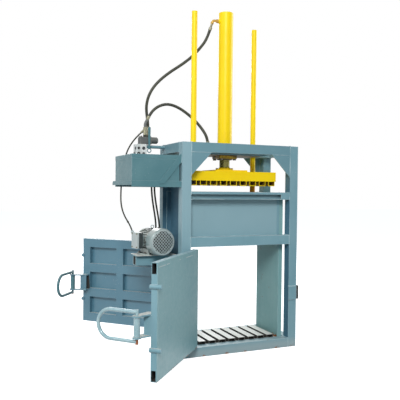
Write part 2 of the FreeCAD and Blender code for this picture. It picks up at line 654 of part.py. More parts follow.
def slatted_floor():
    """Nine slats on three bearers, with the ledge that fills the right-hand margin."""
    y = (-POST_IN_Y + FLOOR_BAR_GAP, POST_IN_Y - FLOOR_REAR_GAP)
    slats = [slat(x, y, FLOOR_BEARER_TOP, True) for x in BAR_CENTRES]
    bearers = [square_tube("x", (-POST_IN_X, POST_IN_X), (mid - FLOOR_BEARER / 2,
                                                         mid + FLOOR_BEARER / 2),
                           (0, FLOOR_BEARER_TOP), FLOOR_BEARER_WALL)
               for mid in FLOOR_BEARER_Y]
    ledge = block((RIGHT_WALL_X - LEDGE_WIDTH, RIGHT_WALL_X), y,
                  (FLOOR_BEARER_TOP, FLOOR_BEARER_TOP + LEDGE_T))
    save("slatted_floor", union(slats + bearers + [ledge]))


def platen():
    """Open box of plate with nine slats under it, and the square crown plate."""
    x, y = PLATEN_X, PLATEN_Y
    inner_x = (x[0] + PLATEN_WALL, x[1] - PLATEN_WALL)
    inner_y = (y[0] + PLATEN_WALL, y[1] - PLATEN_WALL)
    box = block(x, y, (PLATEN_BOX_Z, PLATEN_TOP))
    hollow = block(inner_x, inner_y, (PLATEN_BOX_Z + PLATEN_WALL, PLATEN_TOP - PLATEN_WALL))
    guide_hole = bar(GUIDE_OD / 2 + RUNNING_GAP, GUIDE_RIGHT + (PLATEN_Z,), AXIS_Z,
                     PLATEN_TOP - PLATEN_Z)
    slats = [slat(c, y, PLATEN_Z, False) for c in BAR_CENTRES]
    half = CROWN_PLATE / 2
    crown = block((PRESS_X - half, PRESS_X + half), (-half, half), (PLATEN_TOP, CROWN_TOP))
    save("platen", union([box.cut(hollow), crown] + slats).cut(guide_hole))


# ---- cylinder, rod and guides -----------------------------------------------------
def square_of_bolts(offset):
    """Bolt places at the corners of a square around the cylinder's axis."""
    return [(PRESS_X + sx * offset, sy * offset) for sx in (-1, 1) for sy in (-1, 1)]


def head():
    """Head plate under two channels, between the front and rear top beams."""
    y = (-POST_IN_Y, POST_IN_Y)
    plate = block((PRESS_X - HEAD_PLATE_HALF, PRESS_X + HEAD_PLATE_HALF), y,
                  (HEAD_PLATE_Z, HEAD_PLATE_TOP))
    holes = [bar(BOLT_D / 2 + BOLT_HOLE_GAP, p + (HEAD_PLATE_Z,), AXIS_Z, HEAD_PLATE_T)
             for p in square_of_bolts(FLANGE_BOLT_OFFSET)]
    holes.append(bar(BARREL_OD / 2 + BOLT_HOLE_GAP, (PRESS_X, 0, HEAD_PLATE_Z), AXIS_Z,
                     HEAD_PLATE_T))
    z = (HEAD_PLATE_TOP, FRAME_HEIGHT)
    channels = []
    for side in (-1, 1):
        near = PRESS_X + side * HEAD_CHANNEL_X
        far = near + side * HEAD_CHANNEL_WIDTH
        whole = block(sorted((near, far)), y, z)
        hollow = block(sorted((near + side * HEAD_CHANNEL_WALL, far)), y,
                       (z[0] + HEAD_CHANNEL_WALL, z[1] - HEAD_CHANNEL_WALL))
        channels.append(whole.cut(hollow))
    save("cylinder_head_frame", union([plate.cut(holes[0].multiFuse(holes[1:]))] + channels))


def port_boss(z, length):
    """Round boss on the cylinder's left side where a hose elbow screws in."""
    return bar(BOSS_D / 2, (PRESS_X - BARREL_OD / 2 - length, 0, z), AXIS_X,
               length + BOSS_ROOT)


def cylinder():
    """Barrel with a closed top, its square flange, gland and flange bolts."""
    outer = bar(BARREL_OD / 2, (PRESS_X, 0, HEAD_PLATE_Z), AXIS_Z, BARREL_TOP - HEAD_PLATE_Z)
    bosses = [port_boss(z, BOSS_LENGTH) for z in (UPPER_PORT_Z, LOWER_PORT_Z)]
    bore = bar(BARREL_ID / 2, (PRESS_X, 0, HEAD_PLATE_Z), AXIS_Z,
               BARREL_TOP - BARREL_CAP - HEAD_PLATE_Z)
    save("cylinder_barrel", union([outer] + bosses).cut(bore))

    half = FLANGE_SIDE / 2
    flange = block((PRESS_X - half, PRESS_X + half), (-half, half), (FLANGE_Z, HEAD_PLATE_Z))
    upright = [e for e in flange.Edges if abs(e.tangentAt(e.FirstParameter).z) > 0.99]
    flange = flange.makeFillet(FLANGE_CORNER, upright)
    holes = [bar(BOLT_D / 2 + BOLT_HOLE_GAP, p + (FLANGE_Z,), AXIS_Z, FLANGE_T)
             for p in square_of_bolts(FLANGE_BOLT_OFFSET)]
    seat = bar(GLAND_SPIGOT_OD / 2 + RUNNING_GAP, (PRESS_X, 0, FLANGE_Z), AXIS_Z, FLANGE_T)
    save("cylinder_flange", flange.cut(seat.multiFuse(holes)))

    bore_r = ROD_D / 2 + RUNNING_GAP
    gland = [(bore_r, -GLAND_RIM), (GLAND_OD / 2 - GLAND_CHAMFER, -GLAND_RIM),
             (GLAND_OD / 2, -GLAND_RIM + GLAND_CHAMFER), (GLAND_OD / 2, 0),
             (GLAND_SPIGOT_OD / 2, 0), (GLAND_SPIGOT_OD / 2, FLANGE_T),
             (bore_r, FLANGE_T)]
    save("cylinder_gland", revolve(gland, (PRESS_X, 0, FLANGE_Z), AXIS_Z))

    bolts = []
    for x, y in square_of_bolts(FLANGE_BOLT_OFFSET):
        shank = bar(BOLT_D / 2, (x, y, FLANGE_Z - BOLT_HEAD_H), AXIS_Z,
                    FLANGE_T + HEAD_PLATE_T + BOLT_HEAD_H)
        head_up = hexagon((x, y, HEAD_PLATE_TOP), BOLT_HEAD_AF, BOLT_HEAD_H)
        nut = hexagon((x, y, FLANGE_Z - BOLT_HEAD_H), BOLT_HEAD_AF, BOLT_HEAD_H)
        bolts.append(union([shank, head_up, nut]))
    save("cylinder_flange_bolts", *bolts)


def ram():
    """Chromed rod with its piston, and the bolted flange that carries the platen."""
    rod = bar(ROD_D / 2, (PRESS_X, 0, ROD_FOOT), AXIS_Z, PISTON_TOP - ROD_FOOT)
    piston = bar(BARREL_ID / 2 - RUNNING_GAP, (PRESS_X, 0, PISTON_TOP - PISTON_LENGTH), AXIS_Z,
                 PISTON_LENGTH)
    save("piston_rod", union([rod, piston]))
    outline = [(0, 0), (ROD_FLANGE_OD / 2, 0), (ROD_FLANGE_OD / 2, ROD_FLANGE_T),
               (ROD_HUB_OD / 2 + ROD_HUB_TAPER, ROD_FLANGE_T),
               (ROD_HUB_OD / 2, ROD_FLANGE_T + ROD_HUB_TAPER),
               (ROD_HUB_OD / 2 - ROD_HUB_TAPER, ROD_FLANGE_HUB), (0, ROD_FLANGE_HUB)]
    bolts = []
    flange = revolve(outline, (PRESS_X, 0, CROWN_TOP), AXIS_Z)
    for i in range(ROD_BOLTS):
        turn = 2 * math.pi * (i + 0.5) / ROD_BOLTS
        x = PRESS_X + ROD_BOLT_CIRCLE / 2 * math.cos(turn)
        y = ROD_BOLT_CIRCLE / 2 * math.sin(turn)
        z = CROWN_TOP + ROD_FLANGE_T
        bolts.append(hexagon((x, y, z), ROD_BOLT_AF, ROD_BOLT_H))
    save("rod_flange", union([flange] + bolts))


def guide_rod(place, foot):
    """Pipe with a closed top that rises and falls with the platen."""
    length = GUIDE_TOP - foot
    outer = bar(GUIDE_OD / 2, place + (foot,), AXIS_Z, length)
    bore = bar(GUIDE_OD / 2 - GUIDE_WALL, place + (foot,), AXIS_Z, length - GUIDE_WALL)
    return outer.cut(bore)


def guide_sleeve(place, side):
    """Bored sleeve on a corner plate, which is welded to two top beams."""
    x, y = place
    plate = block(sorted((x - side * SLEEVE_PLATE_REACH, side * POST_IN_X)),
                  sorted((y - side * SLEEVE_PLATE_REACH, side * POST_IN_Y)),
                  (TOP_BEAM_Z, TOP_BEAM_Z + SLEEVE_PLATE_T))
    sleeve = bar(SLEEVE_OD / 2, (x, y, TOP_BEAM_Z), AXIS_Z, SLEEVE_LENGTH)
    bore = bar(GUIDE_OD / 2 + RUNNING_GAP, (x, y, TOP_BEAM_Z), AXIS_Z, SLEEVE_LENGTH)
    return union([plate, sleeve]).cut(bore)


def guides():
    """The two guide rods and the sleeves that they slide in."""
    save("guide_rod_left", guide_rod(GUIDE_LEFT, PLATEN_TOP))
    save("guide_rod_right", guide_rod(GUIDE_RIGHT, GUIDE_RIGHT_FOOT))
    save("guide_sleeve_left", guide_sleeve(GUIDE_LEFT, -1))
    save("guide_sleeve_right", guide_sleeve(GUIDE_RIGHT, 1))


# ---- doors, drawn shut in the front opening ---------------------------------------
def door_frame():
    """Flat rails joined by channel stiles, only the outer two open at their ends, with
    pegs, latch bracket and hinge halves."""
    y = (-HALF_D, DOOR_SKIN_Y)
    bays = DOOR_RAILS - 1
    recess = (DOOR_TOP - DOOR_BOTTOM - DOOR_RAILS * DOOR_TUBE_H) / bays
    pieces = []
    for i in range(DOOR_RAILS):
        z0 = DOOR_BOTTOM + i * (DOOR_TUBE_H + recess)
        pieces.append(square_tube("x", (DOOR_X, DOOR_EDGE), y, (z0, z0 + DOOR_TUBE_H),
                                  DOOR_TUBE_WALL))
    mid = DOOR_EDGE - MID_STILE_FROM_EDGE
    stiles = ((DOOR_X, DOOR_X + STILE_WIDTH), (mid - MID_STILE_WIDTH, mid),
              (DOOR_EDGE - STILE_WIDTH, DOOR_EDGE))
    for i in range(bays):
        z = (DOOR_BOTTOM + DOOR_TUBE_H + i * (DOOR_TUBE_H + recess),
             DOOR_BOTTOM + (i + 1) * (DOOR_TUBE_H + recess))
        for x in stiles:
            hollow = block((x[0] + DOOR_TUBE_WALL, x[1] - DOOR_TUBE_WALL),
                           (y[0] + DOOR_TUBE_WALL, y[1]), z)
            pieces.append(block(x, y, z).cut(hollow))
    for x in ((DOOR_X, DOOR_X + DOOR_TUBE_WALL), (DOOR_EDGE - DOOR_TUBE_WALL, DOOR_EDGE)):
        pieces.append(block(x, y, (DOOR_BOTTOM + DOOR_TUBE_H, DOOR_TOP - DOOR_TUBE_H)))
    for z in PEG_Z:
        pieces.append(bar(PEG_D / 2, (DOOR_EDGE, -HALF_D - PEG_FRONT, z), AXIS_Y,
                          DOOR_TUBE_D + SHEET + PEG_FRONT + PEG_BACK))
    return union(pieces + latch_bracket() + [p for z in HINGE_Z for p in hinge_half_on_door(z)])


def hinge_half_on_door(z):
    """Moving half of a barrel hinge: leaf on the door and the upper barrel."""
    leaf = block((HINGE_X, HINGE_X + HINGE_LEAF), (-HALF_D - HINGE_LEAF_T, -HALF_D),
                 (z + HINGE_GAP, z + HINGE_HALF))
    barrel = bar(HINGE_D / 2, (HINGE_X, -HINGE_Y, z + HINGE_GAP), AXIS_Z, HINGE_HALF - HINGE_GAP)
    return [leaf, barrel]


def latch_bracket():
    """Angle on the free stile and the two plates that carry the latch's pin."""
    low, high = LATCH_Z - LATCH_HALF, LATCH_Z + LATCH_HALF
    box_x = (DOOR_EDGE - LATCH_BOX_W, DOOR_EDGE)
    box_y = (-HALF_D - LATCH_BOX_D, -HALF_D)
    front = block(box_x, (box_y[0], box_y[0] + LATCH_BOX_WALL), (low, high))
    side = block((DOOR_EDGE - LATCH_BOX_WALL, DOOR_EDGE), box_y, (low, high))
    pieces = [front, side]
    for z in (low - LATCH_PLATE_T, high):
        outline = [(box_x[0], -HALF_D, z), (DOOR_EDGE, -HALF_D, z),
                   (LATCH_X + LATCH_EYE_R, LATCH_Y, z), (LATCH_X, LATCH_Y - LATCH_EYE_R, z),
                   (box_x[0], box_y[0], z)]
        eye = bar(LATCH_EYE_R, (LATCH_X, LATCH_Y, z), AXIS_Z, LATCH_PLATE_T)
        pieces += [prism(outline, (0, 0, LATCH_PLATE_T)), eye]
    return pieces


def door_holes():
    """Bores for the hinge pins and the latch pin, and the skin's notch for the pegs."""
    holes = [bar(HINGE_PIN_D / 2 + RUNNING_GAP, (HINGE_X, -HINGE_Y, z), AXIS_Z, HINGE_HALF)
             for z in HINGE_Z]
    holes.append(bar(LATCH_PIN_D / 2 + RUNNING_GAP,
                     (LATCH_X, LATCH_Y, LATCH_Z - LATCH_HALF - LATCH_PLATE_T), AXIS_Z,
                     2 * (LATCH_HALF + LATCH_PLATE_T)))
    return holes[0].multiFuse(holes[1:])


def door_skin():
    """Smooth inner plate of a door, notched round the pegs."""
    skin = block((DOOR_X, DOOR_EDGE), (DOOR_SKIN_Y, DOOR_SKIN_Y + SHEET), (DOOR_BOTTOM, DOOR_TOP))
    pegs = [bar(PEG_D / 2 + SEAT_GAP, (DOOR_EDGE, DOOR_SKIN_Y, z), AXIS_Y, SHEET) for z in PEG_Z]
    return skin.cut(pegs[0].multiFuse(pegs[1:]))


def latch_handle(turn):
    """Pin with its locking tube, and the D-shaped grip welded across the pin's ends."""
    low, high = LATCH_Z - GRIP_HALF, LATCH_Z + GRIP_HALF
    bend_y = LATCH_Y - GRIP_STRAIGHT
    start, end = V(LATCH_X, LATCH_Y, high), V(LATCH_X, LATCH_Y, low)
    into, out = V(LATCH_X, bend_y, high), V(LATCH_X, bend_y, low)
    crown = V(LATCH_X, bend_y - GRIP_HALF, LATCH_Z)
    path = Part.Wire([Part.LineSegment(start, into).toShape(), Part.Arc(into, crown, out).toShape(),
                      Part.LineSegment(out, end).toShape()])
    ring = Part.Wire(Part.makeCircle(GRIP_D / 2, start, V(0, -1, 0)))
    grip = path.makePipeShell([ring], True, False)
    pin_low, pin_high = low - GRIP_D / 2 - LATCH_PIN_TIP, high + GRIP_D / 2 + LATCH_PIN_TIP
    pin = bar(LATCH_PIN_D / 2, (LATCH_X, LATCH_Y, pin_low), AXIS_Z, pin_high - pin_low)
    tube_z = LATCH_Z - LATCH_HALF + LATCH_AXIAL_GAP
    tube = bar(LATCH_TUBE_D / 2, (LATCH_X, LATCH_Y, tube_z), AXIS_Z,
               2 * (LATCH_HALF - LATCH_AXIAL_GAP))
    handle = union([grip, pin, tube])
    handle.rotate(V(LATCH_X, LATCH_Y, 0), AXIS_Z, turn)
    return handle


def swing(shape, hinge_y, angle):
    """A door's piece, turned about the hinge line."""
    turned = shape.copy()
    turned.rotate(V(HINGE_X, hinge_y, 0), AXIS_Z, angle)
    return turned


def doors():
    """Both doors as photographed; the rear one is the front one's mirror image."""
    frame = door_frame().cut(door_holes())
    skin = door_skin()
    for name, piece in (("door_frame", frame), ("door_skin", skin)):
        save(name + "_front", swing(piece, -HINGE_Y, FRONT_OPEN))
        save(name + "_rear", swing(mirrored(piece), HINGE_Y, REAR_OPEN))
    save("latch_handle_front", swing(latch_handle(FRONT_GRIP_TURN), -HINGE_Y, FRONT_OPEN))
    save("latch_handle_rear", swing(mirrored(latch_handle(REAR_GRIP_TURN)), HINGE_Y, REAR_OPEN))


# ---- tank -------------------------------------------------------------------------
def tank():
    """Oil tank, open at the top, and its lid with a folded skirt."""
    x = (TANK_X[0] + LID_STEP, TANK_X[1] - LID_STEP)
    y = (TANK_Y[0] + LID_STEP, TANK_Y[1] - LID_STEP)
    shoulder = TANK_Z[1] - LID_SKIRT
    rim_top = TANK_Z[1] - TANK_WALL - SEAT_GAP
    inset = LID_STEP + SEAT_GAP
    body = block(x, y, (TANK_Z[0], shoulder))
    rim = block((x[0] + inset, x[1] - inset), (y[0] + inset, y[1] - inset), (shoulder, rim_top))
    hollow = block((x[0] + TANK_WALL, x[1] - TANK_WALL), (y[0] + TANK_WALL, y[1] - TANK_WALL),
                   (TANK_Z[0] + TANK_WALL, rim_top))
    stubs = [tank_stub(hose) for hose in (SUCTION_HOSE, RETURN_HOSE)]
    save("oil_tank", union([body.fuse(rim).cut(hollow)] + stubs))
    skirt = block(TANK_X, TANK_Y, (shoulder, TANK_Z[1]))
    recess = block(x, y, (shoulder, TANK_Z[1] - TANK_WALL))
    save("tank_lid", skirt.cut(recess))


def tank_stub(hose):
    """Hexagonal fitting on the tank's underside, down to a hose's end."""
    return hexagon(hose[0], TANK_FITTING_AF, TANK_Z[0] - hose[0][2])


def tank_bracket():
    """Angles that carry the tank, welded to the left posts, with the front strut."""
    top = TANK_Z[0]
    long_x = (TANK_X[0], -HALF_W)
    pieces = []
    for edge, inward in ((TANK_Y[0], 1), (TANK_Y[1], -1)):
        pieces.append(block(long_x, sorted((edge, edge + inward * BRACKET_FLANGE)),
                            (top - BRACKET_T, top)))
        pieces.append(block(long_x, sorted((edge, edge + inward * BRACKET_T)),
                            (top - BRACKET_LEG, top)))
    end_y = (TANK_Y[0], BRACKET_TAIL_Y - BRACKET_END_LEG)
    pieces.append(block((TANK_X[0], TANK_X[0] + BRACKET_FLANGE), end_y, (top - BRACKET_T, top)))
    leg_x = (TANK_X[0], TANK_X[0] + BRACKET_T)
    pieces.append(block(leg_x, end_y, (top - BRACKET_END_LEG, top)))
    pieces.append(tail_of_bracket(leg_x, end_y[1], top))
    foot_top, foot_low = top, top - STRUT_FOOT_DROP
    y = TANK_Y[0] - STRUT_T
    foot_x = (TANK_X[1] + STRUT_FOOT[0], TANK_X[1] + STRUT_FOOT[1])
    head_z = (TANK_Z[1] + STRUT_HEAD[0], TANK_Z[1] + STRUT_HEAD[1])
    pieces.append(prism([(-HALF_W, y, head_z[1]), (-HALF_W, y, head_z[0]),
                         (foot_x[1], y, foot_low), (foot_x[0], y, foot_low),
                         (foot_x[0], y, foot_top)], (0, STRUT_T, 0)))
    save("tank_bracket", union(pieces))


def tail_of_bracket(leg_x, from_y, top):
    """Rounded end of the angle's upright leg, past the tank."""
    low = top - BRACKET_END_LEG
    start, end = V(leg_x[0], from_y, low), V(leg_x[0], from_y, top)
    side = BRACKET_END_LEG
    middle = V(leg_x[0], from_y + side * math.sin(math.radians(45)),
               top - side * (1 - math.cos(math.radians(45))))
    lower = V(leg_x[0], from_y + side, top - side)
    outline = Part.Wire([Part.Arc(end, middle, lower).toShape(),
                         Part.LineSegment(lower, start).toShape(),
                         Part.LineSegment(start, end).toShape()])
    return Part.Face(outline).extrude(V(leg_x[1] - leg_x[0], 0, 0))


# ---- motor and pump, drawn square to the frame and then turned ----------------------
def as_mounted(shape):
    """A motor piece, turned about the middle of the motor's feet."""
    turned = shape.copy()
    turned.rotate(V(*MOTOR_PIVOT, 0), AXIS_Z, MOTOR_TURN)
    return turned


def motor_support():
    """Side rail between the left posts and the open-ended beam that carries the motor."""
    z = (MOTOR_BEAM_TOP - TUBE, MOTOR_BEAM_TOP)
    rail_x = (-HALF_W, -HALF_W + SIDE_RAIL_DEPTH)
    beam_y = (MOTOR_BEAM_Y, MOTOR_BEAM_Y + TUBE)
    rail = square_tube("y", rail_x, (-POST_IN_Y, POST_IN_Y), z, TUBE_WALL)
    beam = square_tube("x", (MOTOR_BEAM_END, -HALF_W), beam_y, z, TUBE_WALL)
    plate = block((MOTOR_BEAM_END, rail_x[1]), BASE_PLATE_Y,
                  (MOTOR_BEAM_TOP, MOTOR_BEAM_TOP + BASE_PLATE_T))
    save("motor_support", union([rail, beam, plate]))


def motor_body():
    """Finned housing on cast feet, with its end shields and lifting eye."""
    centre = (MOTOR_X, MOTOR_Y[0], MOTOR_Z)
    length = MOTOR_Y[1] - MOTOR_Y[0]
    drum = bar(MOTOR_BODY_R, centre, AXIS_Y, length)
    fins = []
    for i in range(MOTOR_FINS):
        fin = block((-MOTOR_FIN_T / 2, MOTOR_FIN_T / 2), (MOTOR_Y[0], MOTOR_Y[1]),
                    (MOTOR_BODY_R - MOTOR_FIN_ROOT, MOTOR_FIN_R))
        fin.rotate(V(0, 0, 0), AXIS_Y, 360.0 * (i + 0.5) / MOTOR_FINS)
        fin.translate(V(MOTOR_X, 0, MOTOR_Z))
        fins.append(fin)
    shields = [bar(MOTOR_FIN_R, (MOTOR_X, MOTOR_Y[1], MOTOR_Z), AXIS_Y, END_SHIELD_T),
               bar(MOTOR_FIN_R, (MOTOR_X, SHIELD_FACE, MOTOR_Z), AXIS_Y, END_SHIELD_T)]
    feet = feet_of_motor()
    eye_y, eye_z = MOTOR_PIVOT[1], MOTOR_Z + MOTOR_FIN_R
    stem = bar(EYEBOLT_WIRE * 2, (MOTOR_X, eye_y, MOTOR_Z + MOTOR_BODY_R - EYEBOLT_ROOT), AXIS_Z,
               MOTOR_FIN_R - MOTOR_BODY_R + EYEBOLT_WIRE + EYEBOLT_ROOT)
    ring = Part.makeTorus(EYEBOLT_RING, EYEBOLT_WIRE,
                          V(MOTOR_X, eye_y, eye_z + EYEBOLT_WIRE + EYEBOLT_RING), AXIS_Y)
    socket = bar(MOTOR_SHAFT_D / 2 + RUNNING_GAP, (MOTOR_X, SHIELD_FACE, MOTOR_Z), AXIS_Y,
                 END_SHIELD_T + FAN_SOCKET)
    body = union([drum] + fins + shields + feet + [stem, ring]).cut(socket)
    save("motor_body", as_mounted(body))


def feet_of_motor():
    """A cast foot each side: a plate on the base and a web up to the drum."""
    base = MOTOR_BEAM_TOP + BASE_PLATE_T
    pieces = []
    for side in (-1, 1):
        outer = MOTOR_X + side * MOTOR_FOOT_HALF
        inner = outer - side * MOTOR_FOOT_WIDTH
        pieces.append(block(sorted((inner, outer)), MOTOR_FOOT_Y, (base, base + MOTOR_FOOT_T)))
        web_x = sorted((inner, inner + side * MOTOR_FOOT_WEB))
        pieces.append(block(web_x, MOTOR_FOOT_Y, (base, MOTOR_Z - MOTOR_WEB_DROP)))
    return pieces


def fan_cowl():
    """Drawn cowl over the motor's front end, with a diagonal mesh of square holes."""
    back = SHIELD_FACE + COWL_LAP
    outer = bar(COWL_R, (MOTOR_X, COWL_Y, MOTOR_Z), AXIS_Y, back - COWL_Y)
    rim = [e for e in outer.Edges if abs(e.CenterOfMass.y - COWL_Y) < COWL_WALL and len(e.Vertexes) < 2]
    inner = bar(COWL_R - COWL_WALL, (MOTOR_X, COWL_Y + COWL_WALL, MOTOR_Z), AXIS_Y, back - COWL_Y)
    inner_rim = [e for e in inner.Edges
                 if e.CenterOfMass.y < COWL_Y + 2 * COWL_WALL and len(e.Vertexes) < 2]
    shell = outer.makeFillet(COWL_ROUND, rim).cut(
        inner.makeFillet(COWL_ROUND - COWL_WALL, inner_rim))
    cells = grille_cells()
    cowl = union([shell.cut(cells[0].multiFuse(cells[1:]))] + cowl_seats(back))
    save("fan_cowl", as_mounted(cowl))


def grille_cells():
    """Square holes on a diagonal grid, cut off by the grille's circle."""
    disc = bar(GRILLE_R, (MOTOR_X, COWL_Y - COWL_WALL, MOTOR_Z), AXIS_Y, 3 * COWL_WALL)
    reach = int(GRILLE_R / GRILLE_PITCH) + 1
    half = GRILLE_HOLE / 2
    cells = []
    for i in range(-reach, reach + 1):
        for j in range(-reach, reach + 1):
            x, z = i * GRILLE_PITCH, j * GRILLE_PITCH
            hole = block((x - half, x + half), (COWL_Y - COWL_WALL, COWL_Y + 2 * COWL_WALL),
                         (z - half, z + half))
            hole.rotate(V(0, 0, 0), AXIS_Y, 45)
            hole.translate(V(MOTOR_X, 0, MOTOR_Z))
            cell = hole.common(disc)
            if cell.Volume > GRILLE_LEAST * hole.Volume:
                cells.append(cell)
    return cells


def cowl_seats(back):
    """Four pads inside the cowl's rim that rest on the motor's end shield."""
    seats = []
    for i in range(4):
        pad = block((-COWL_SEAT_W / 2, COWL_SEAT_W / 2), (back - COWL_LAP, back),
                    (MOTOR_FIN_R + SEAT_GAP, COWL_R - COWL_WALL + COWL_SEAT_ROOT))
        pad.rotate(V(0, 0, 0), AXIS_Y, 90 * i + 45)
        pad.translate(V(MOTOR_X, 0, MOTOR_Z))
        seats.append(pad)
    return seats


def motor_fan():
    """Radial fan behind the grille, on the end of the motor's shaft."""
    front = COWL_Y + COWL_WALL + FAN_GAP
    shaft = bar(MOTOR_SHAFT_D / 2, (MOTOR_X, front, MOTOR_Z), AXIS_Y,
                SHIELD_FACE + END_SHIELD_T + FAN_SOCKET - FAN_GAP - front)
    hub = bar(FAN_HUB_R, (MOTOR_X, front, MOTOR_Z), AXIS_Y, FAN_DEPTH)
    disc = bar(FAN_DISC_R, (MOTOR_X, front + FAN_DEPTH - FAN_BLADE_T, MOTOR_Z), AXIS_Y, FAN_BLADE_T)
    blades = []
    for i in range(FAN_BLADES):
        blade = block((-FAN_BLADE_T / 2, FAN_BLADE_T / 2), (front, front + FAN_DEPTH),
                      (FAN_HUB_R - FAN_HUB_ROOT, FAN_R))
        blade.rotate(V(0, 0, 0), AXIS_Y, 360.0 * i / FAN_BLADES)
        blade.translate(V(MOTOR_X, 0, MOTOR_Z))
        blades.append(blade)
    save("motor_fan", as_mounted(union([shaft, hub, disc] + blades)))


def terminal_box():
    """Terminal box on the motor's left side, with its cover and cable gland."""
    body = block((TERMINAL_X[0] + TERMINAL_COVER, TERMINAL_X[1]), TERMINAL_Y, TERMINAL_Z)
    neck = block((TERMINAL_X[1], MOTOR_X - TERMINAL_NECK_REACH),
                 (TERMINAL_Y[0] + TERMINAL_NECK_END, TERMINAL_Y[1] - TERMINAL_NECK_END),
                 (TERMINAL_Z[0] + TERMINAL_NECK_FOOT, TERMINAL_Z[1] - TERMINAL_NECK_TOP))
    drum = bar(MOTOR_FIN_R + SEAT_GAP, (MOTOR_X, SHIELD_FACE, MOTOR_Z), AXIS_Y,
               BELL_Y - SHIELD_FACE)
    cover = block((TERMINAL_X[0], TERMINAL_X[0] + TERMINAL_COVER),
                  (TERMINAL_Y[0] - TERMINAL_LIP, TERMINAL_Y[1] + TERMINAL_LIP),
                  (TERMINAL_Z[0] - TERMINAL_LIP, TERMINAL_Z[1] + TERMINAL_LIP))
    along_x = [e for e in cover.Edges if abs(e.tangentAt(e.FirstParameter).x) > 0.99]
    cover = cover.makeFillet(TERMINAL_ROUND, along_x)
    box = as_mounted(union([body, neck, cover]).cut(drum))
    end = heading(MOTOR_CABLE, at_end=True)
    across, height, back = GLAND_NUT
    gland = bar(GLAND_D / 2, MOTOR_CABLE[-1], end, GLAND_LENGTH)
    nut = hexagon(V(*MOTOR_CABLE[-1]) + end * back, across, height, end)
    save("terminal_box", union([box, gland, nut]))


def pump():
    """Bell housing and gear pump on the motor's rear end, with the two hose elbows."""
    bell = [(0, 0), (BELL_R, 0), (BELL_R, BELL_FLANGE_T), (BELL_SMALL_R, BELL_LENGTH - BELL_NOSE),
            (BELL_SMALL_R, BELL_LENGTH), (0, BELL_LENGTH)]
    housing = revolve(bell, (MOTOR_X, BELL_Y, MOTOR_Z), AXIS_Y)
    gear_case = block((MOTOR_X - PUMP_WIDTH / 2, MOTOR_X + PUMP_WIDTH / 2),
                      (PUMP_Y, PUMP_Y + PUMP_LENGTH),
                      (MOTOR_Z - PUMP_HEIGHT / 2, MOTOR_Z + PUMP_HEIGHT / 2))
    along_y = [e for e in gear_case.Edges if abs(e.tangentAt(e.FirstParameter).y) > 0.99]
    case = as_mounted(union([housing, gear_case.makeFillet(PUMP_ROUND, along_y)]))
    elbows = [p for hose in (SUCTION_HOSE, RETURN_HOSE) for p in pump_elbow(hose)]
    save("gear_pump", union([case] + elbows))


def pump_elbow(hose):
    """Elbow from the pump's right side up to a hose's end."""
    end, along = V(*hose[-1]), heading(hose, at_end=True)
    corner = end + along * PUMP_ELBOW_DROP
    inside = V(MOTOR_X, corner.y, corner.z)
    elbow, _, _ = pipe([tuple(end), tuple(corner), tuple(inside)],
                       TANK_HOSE_D + 2 * TANK_FITTING_WALL, PIPE_SHARE)
    nut = hexagon(end, TANK_FITTING_AF, TANK_FITTING_NUT, along)
    return [elbow, nut]


# ---- valve ------------------------------------------------------------------------
def valve():
    """Manifold on the tank's lid, with the hand valve, spring cap, lever and fittings."""
    y = (VALVE_Y - MANIFOLD_HALF, VALVE_Y + MANIFOLD_HALF)
    manifold = block(MANIFOLD_X, y, (TANK_Z[1], MANIFOLD_TOP))
    top_edges = [e for e in manifold.Edges if e.CenterOfMass.z > MANIFOLD_TOP - 1]
    save("valve_manifold", manifold.makeChamfer(MANIFOLD_CHAMFER, top_edges))

    body = block(VALVE_X, (VALVE_Y - VALVE_HALF, VALVE_Y + VALVE_HALF), (MANIFOLD_TOP, VALVE_TOP))
    rounded = body.makeFillet(VALVE_ROUND, [e for e in body.Edges if e.CenterOfMass.z > MANIFOLD_TOP + 1])
    ear_y = VALVE_Y - VALVE_HALF - LEVER_STAND_OFF + LEVER_GAP
    ear = block((LEVER_X - LEVER_PIN_D, LEVER_X + LEVER_PIN_D), (ear_y, VALVE_Y),
                (SPOOL_Z - LEVER_PIN_D, SPOOL_Z + LEVER_PIN_D))
    bore = bar(LEVER_PIN_D / 2 + RUNNING_GAP, (LEVER_X, ear_y, SPOOL_Z), AXIS_Y, LEVER_PIN_DEPTH)
    save("hand_valve", union([rounded, ear]).cut(bore))

    cap = [(0, 0), (CAP_R, 0), (CAP_R, CAP_LENGTH - CAP_TAPER[1]),
           (CAP_R - CAP_TAPER[0], CAP_LENGTH), (0, CAP_LENGTH)]
    save("spring_cap", revolve(cap, (CAP_X[0], VALVE_Y, SPOOL_Z), AXIS_X))

    lever()
    port_fittings()


def lever():
    """Flat hand lever with a ring at its lower end, pinned to the valve."""
    face_y = VALVE_Y - VALVE_HALF - LEVER_STAND_OFF
    y = (face_y - LEVER_T, face_y)
    low = LEVER_RING_Z + LEVER_RING_R
    half, foot = LEVER_WIDTH / 2, LEVER_FOOT_WIDTH / 2
    blade = prism([(LEVER_X - half, y[0], LEVER_TOP - half), (LEVER_X - foot, y[0], low),
                   (LEVER_X + foot, y[0], low), (LEVER_X + half, y[0], LEVER_TOP - half)],
                  (0, LEVER_T, 0))
    tip = bar(half, (LEVER_X, y[0], LEVER_TOP - half), AXIS_Y, LEVER_T)
    ring = Part.makeTorus(LEVER_RING_R, LEVER_WIRE, V(LEVER_X, (y[0] + y[1]) / 2, LEVER_RING_Z),
                          AXIS_Y)
    pin = bar(LEVER_PIN_D / 2, (LEVER_X, y[0], SPOOL_Z), AXIS_Y,
              LEVER_T + LEVER_PIN_DEPTH - LEVER_PIN_END_GAP)
    save("valve_lever", union([blade, tip, ring, pin]))


